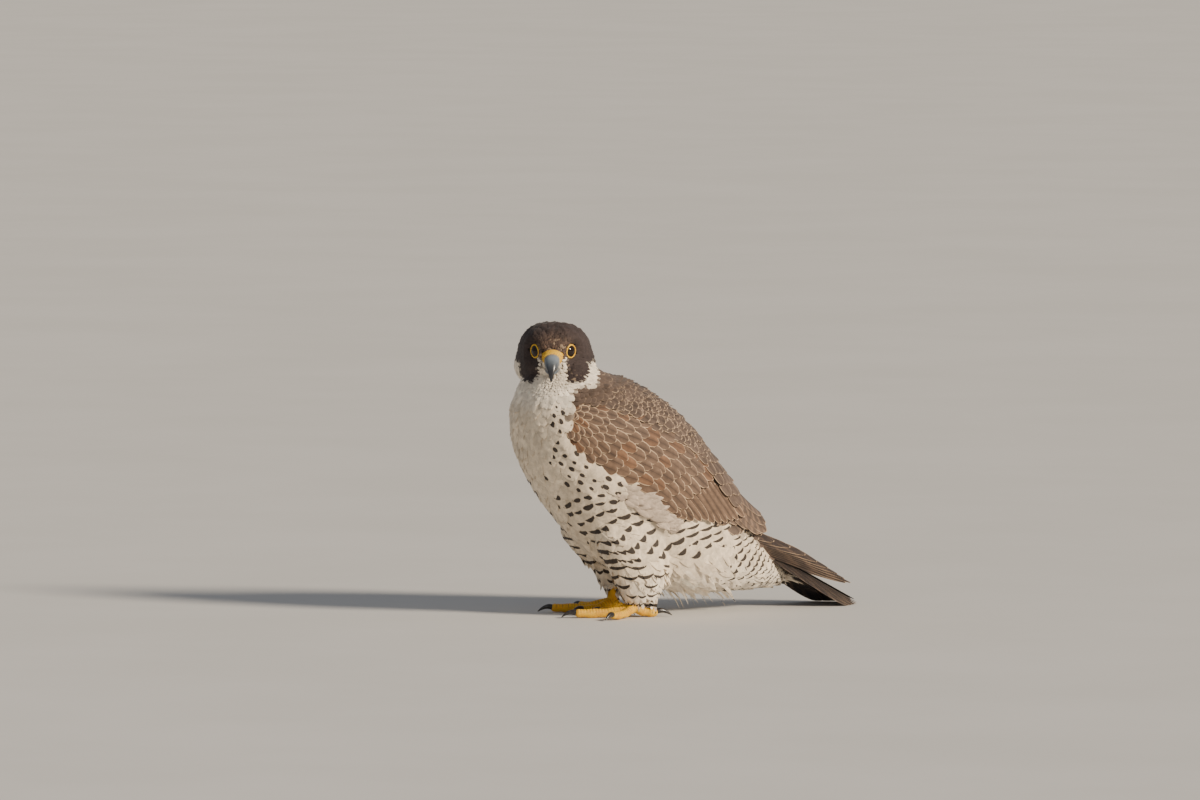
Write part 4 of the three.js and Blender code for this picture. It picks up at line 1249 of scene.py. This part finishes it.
def around_eye(side, radius, angle, turn, tall=1.0):
    """Points at a radius from the middle of an eye, at an angle from its axis and a turn round it."""
    middle, axis, up, across = eye_axis(side)
    rise = radius * np.sin(angle)
    return (middle + (radius * np.cos(angle) + 0 * turn)[..., None] * axis
            + (rise * np.cos(turn))[..., None] * up * tall
            + (rise * np.sin(turn))[..., None] * across)


def build_eye(name, side):
    angle = np.linspace(0.01, math.pi - 0.01, 28)[:, None]
    # the clear front bulges a little
    radius = EYE_RADIUS + 0.5 * np.exp(-(angle / 0.5) ** 2)
    ball = tube(f"eyeball_{name}", around_eye(side, radius, angle, circle(40)[None, :]))
    finish_piece(ball, EYE, f"eye_{name}")
    # swollen ring of bare skin, with fine wrinkles
    rows, cols = 72, 14
    ring = circle(rows)[:, None]
    section = circle(cols)[None, :]
    angle = np.radians(42.5 + 5.6 * np.cos(section) + 0.9 * np.cos(3 * ring))
    radius = EYE_RADIUS + 0.35 + 0.6 * np.sin(section) + 0.08 * np.cos(18 * ring)
    faces = grid_faces(rows, cols, ring=True)
    closing = grid_faces(2, cols, ring=True)
    closing = np.where(closing >= cols, closing - cols, closing + (rows - 1) * cols)
    lid = make_object(f"lid_ring_{name}", around_eye(side, radius, angle, ring, 0.96),
                      np.concatenate([faces, closing]))
    finish_piece(lid, CERE_SKIN, f"eyelid_{name}")


build_bill()
build_cere()
for eye_name, eye_side in SIDES:
    build_eye(eye_name, eye_side)


# Feet
def limb(name, centres, radii, sides, steps, scutes=0.0, pitch=3.0, pads=0.0, rounded=0.0):
    """Closed body round a smooth line, with raised plates above, pads below and a rounded far end."""
    u = np.linspace(0, 1, steps)
    line = np.stack([along(centres[:, k], u) for k in range(3)], axis=1)
    radius = along(radii, u)
    ahead = unit(np.gradient(line, axis=0))
    across = np.cross(ahead, np.array([0, 0, 1.0]))
    across[np.linalg.norm(across, axis=1) < 0.3] = np.array([1.0, 0, 0])
    across = unit(across)
    above = unit(np.cross(across, ahead))
    turn = circle(sides)
    walk = np.concatenate([[0], np.cumsum(np.linalg.norm(np.diff(line, axis=0), axis=1))])
    if rounded:
        short = np.clip(1 - (walk[-1] - walk) / rounded, 0, 0.985)
        radius = radius * np.sqrt(1 - short ** 2)
    plate = np.abs(np.sin(math.pi * walk / pitch)) ** 0.5
    top = np.clip(np.sin(turn), 0, 1) ** 0.7
    under = np.clip(-np.sin(turn), 0, 1)
    pad = np.abs(np.sin(math.pi * walk / PAD_PITCH)) ** 0.8
    r = (radius[:, None] + scutes * plate[:, None] * top[None, :]
         + pads * (pad[:, None] - 0.6) * under[None, :])
    rings = (line[:, None, :] + across[:, None, :] * (r * np.cos(turn))[..., None]
             + above[:, None, :] * (r * np.sin(turn))[..., None])
    rings[..., 2] = np.maximum(rings[..., 2], 0.05)
    obj = tube(name, rings)
    # painted shade for the creases between the raised plates, on their upper side, which the material darkens
    if scutes:
        crease_shade = smooth(plate, 0.62, 0.3)[:, None] * smooth(top, 0.1, 0.5)[None, :]
        set_attribute(obj, "crease_shade", np.concatenate([crease_shade[:1], crease_shade, crease_shade[-1:]]).ravel())
    return obj


def toe_line(side_name, turn, heights, length, root=0.0):
    """Points over a toe or claw, evenly spaced from root to its end in plan, at the heights given."""
    outward = 1 if side_name == "left" else -1
    turn = math.radians((turn + FOOT_TURN[side_name]) * outward)
    far = root + length * np.linspace(0, 1, len(heights))
    x, y = FOOT_AT[side_name]
    return np.stack([x + far * math.sin(turn), y - far * math.cos(turn), np.array(heights)], axis=1)


def build_foot(name):
    x, y = FOOT_AT[name]
    z = np.array([TARSUS_TOP, 32, 20, 12, 7.0])
    centres = np.stack([np.full(5, float(x)), y + 2.5 - 2.5 * (TARSUS_TOP - z) / TARSUS_TOP, z], axis=1)
    radii = np.array([1.1, 1, 1, 1.15, 1.35]) * TARSUS_RADIUS
    pieces = [limb("tarsus", centres, radii, 28, 60, scutes=0.2, pitch=3.4)]
    for toe_name, (turn, length, radius, claw) in TOES.items():
        line = toe_line(name, turn, TOE_HEIGHTS, length)
        pieces.append(limb("toe", line, np.array(TOE_BULGE) * radius, 28, 110, scutes=0.4, pitch=2.7,
                           pads=0.6, rounded=3.6))
        line = toe_line(name, turn, CLAW_HEIGHTS, claw, root=length - 2.6)
        talon = limb(f"talon_{name}_{toe_name}", line, np.array(CLAW_RADII), 20, 36)
        finish_piece(talon, CLAW, f"claw_{name}_{toe_name}")
    finish_piece(joined(pieces, f"scaled_foot_{name}"), BARE, f"foot_{name}")


for foot_name, _ in SIDES:
    build_foot(foot_name)


# Floor, light and camera
def build_stage():
    reach = FLOOR_REACH
    corners = [[-reach, -reach], [reach, -reach], [reach, reach], [-reach, reach]]
    points = np.array([(x, y, -FLOOR_GAP) for x, y in corners]) - SHIFT
    floor = make_object("pale_floor", points, [[0, 1, 2, 3]])
    floor.data.materials.append(mottled_material("pale_floor", 0.85, (3.0,), (0.3, 0.7), FLOOR_COLOURS))


def toward(azimuth, elevation):
    """Direction from the bird to a lamp or the camera, azimuth 0 being straight before the bird."""
    a = math.radians(azimuth)
    e = math.radians(elevation)
    return np.array([math.sin(a) * math.cos(e), -math.cos(a) * math.cos(e), math.sin(e)])


def placed(name, data, at, direction):
    """Puts a lamp or the camera at a place, looking against a direction."""
    obj = bpy.data.objects.new(name, data)
    obj.location = at
    obj.rotation_euler = Vector(direction).to_track_quat("Z", "Y").to_euler()
    bpy.context.scene.collection.objects.link(obj)
    return obj


def build_camera():
    back = toward(AZIMUTH, ELEVATION)
    right = toward(AZIMUTH + 90, 0)
    up = np.cross(back, right)
    middle = np.array(PHOTO_SIZE) / 2
    u = (middle[0] - ORIGIN_PIXEL[0]) * MM_PER_PIXEL
    v = (ORIGIN_PIXEL[1] - middle[1]) * MM_PER_PIXEL
    distance = PHOTO_SIZE[0] * MM_PER_PIXEL * MM * LENS / SENSOR
    data = bpy.data.cameras.new("camera")
    data.lens = LENS
    data.sensor_width = SENSOR
    data.clip_end = 500
    bpy.context.scene.camera = placed("camera", data, world(right * u + up * v) + back * distance, back)


def build_light():
    """Low warm sun from the right of the picture, a faint fill from its left and a pale sky."""
    key = bpy.data.lights.new("key", "SUN")
    key.energy = KEY_POWER
    key.angle = math.radians(11)
    key.color = (1.0, 0.87, 0.70)
    placed("key", key, (0, 0, 0), toward(AZIMUTH + 57, 27))
    fill = bpy.data.lights.new("fill", "AREA")
    fill.energy = FILL_POWER
    fill.size = 3.0
    fill.color = (0.93, 0.96, 1.0)
    direction = toward(AZIMUTH - 30, 35)
    placed("fill", fill, direction * 3.5 + np.array([0, 0, 0.12]), direction)
    sky = bpy.data.worlds.new("sky")
    sky.use_nodes = True
    background = sky.node_tree.nodes["Background"]
    background.inputs["Color"].default_value = (0.88, 0.92, 1.0, 1)
    background.inputs["Strength"].default_value = SKY_STRENGTH
    bpy.context.scene.world = sky


build_stage()
build_camera()
build_light()
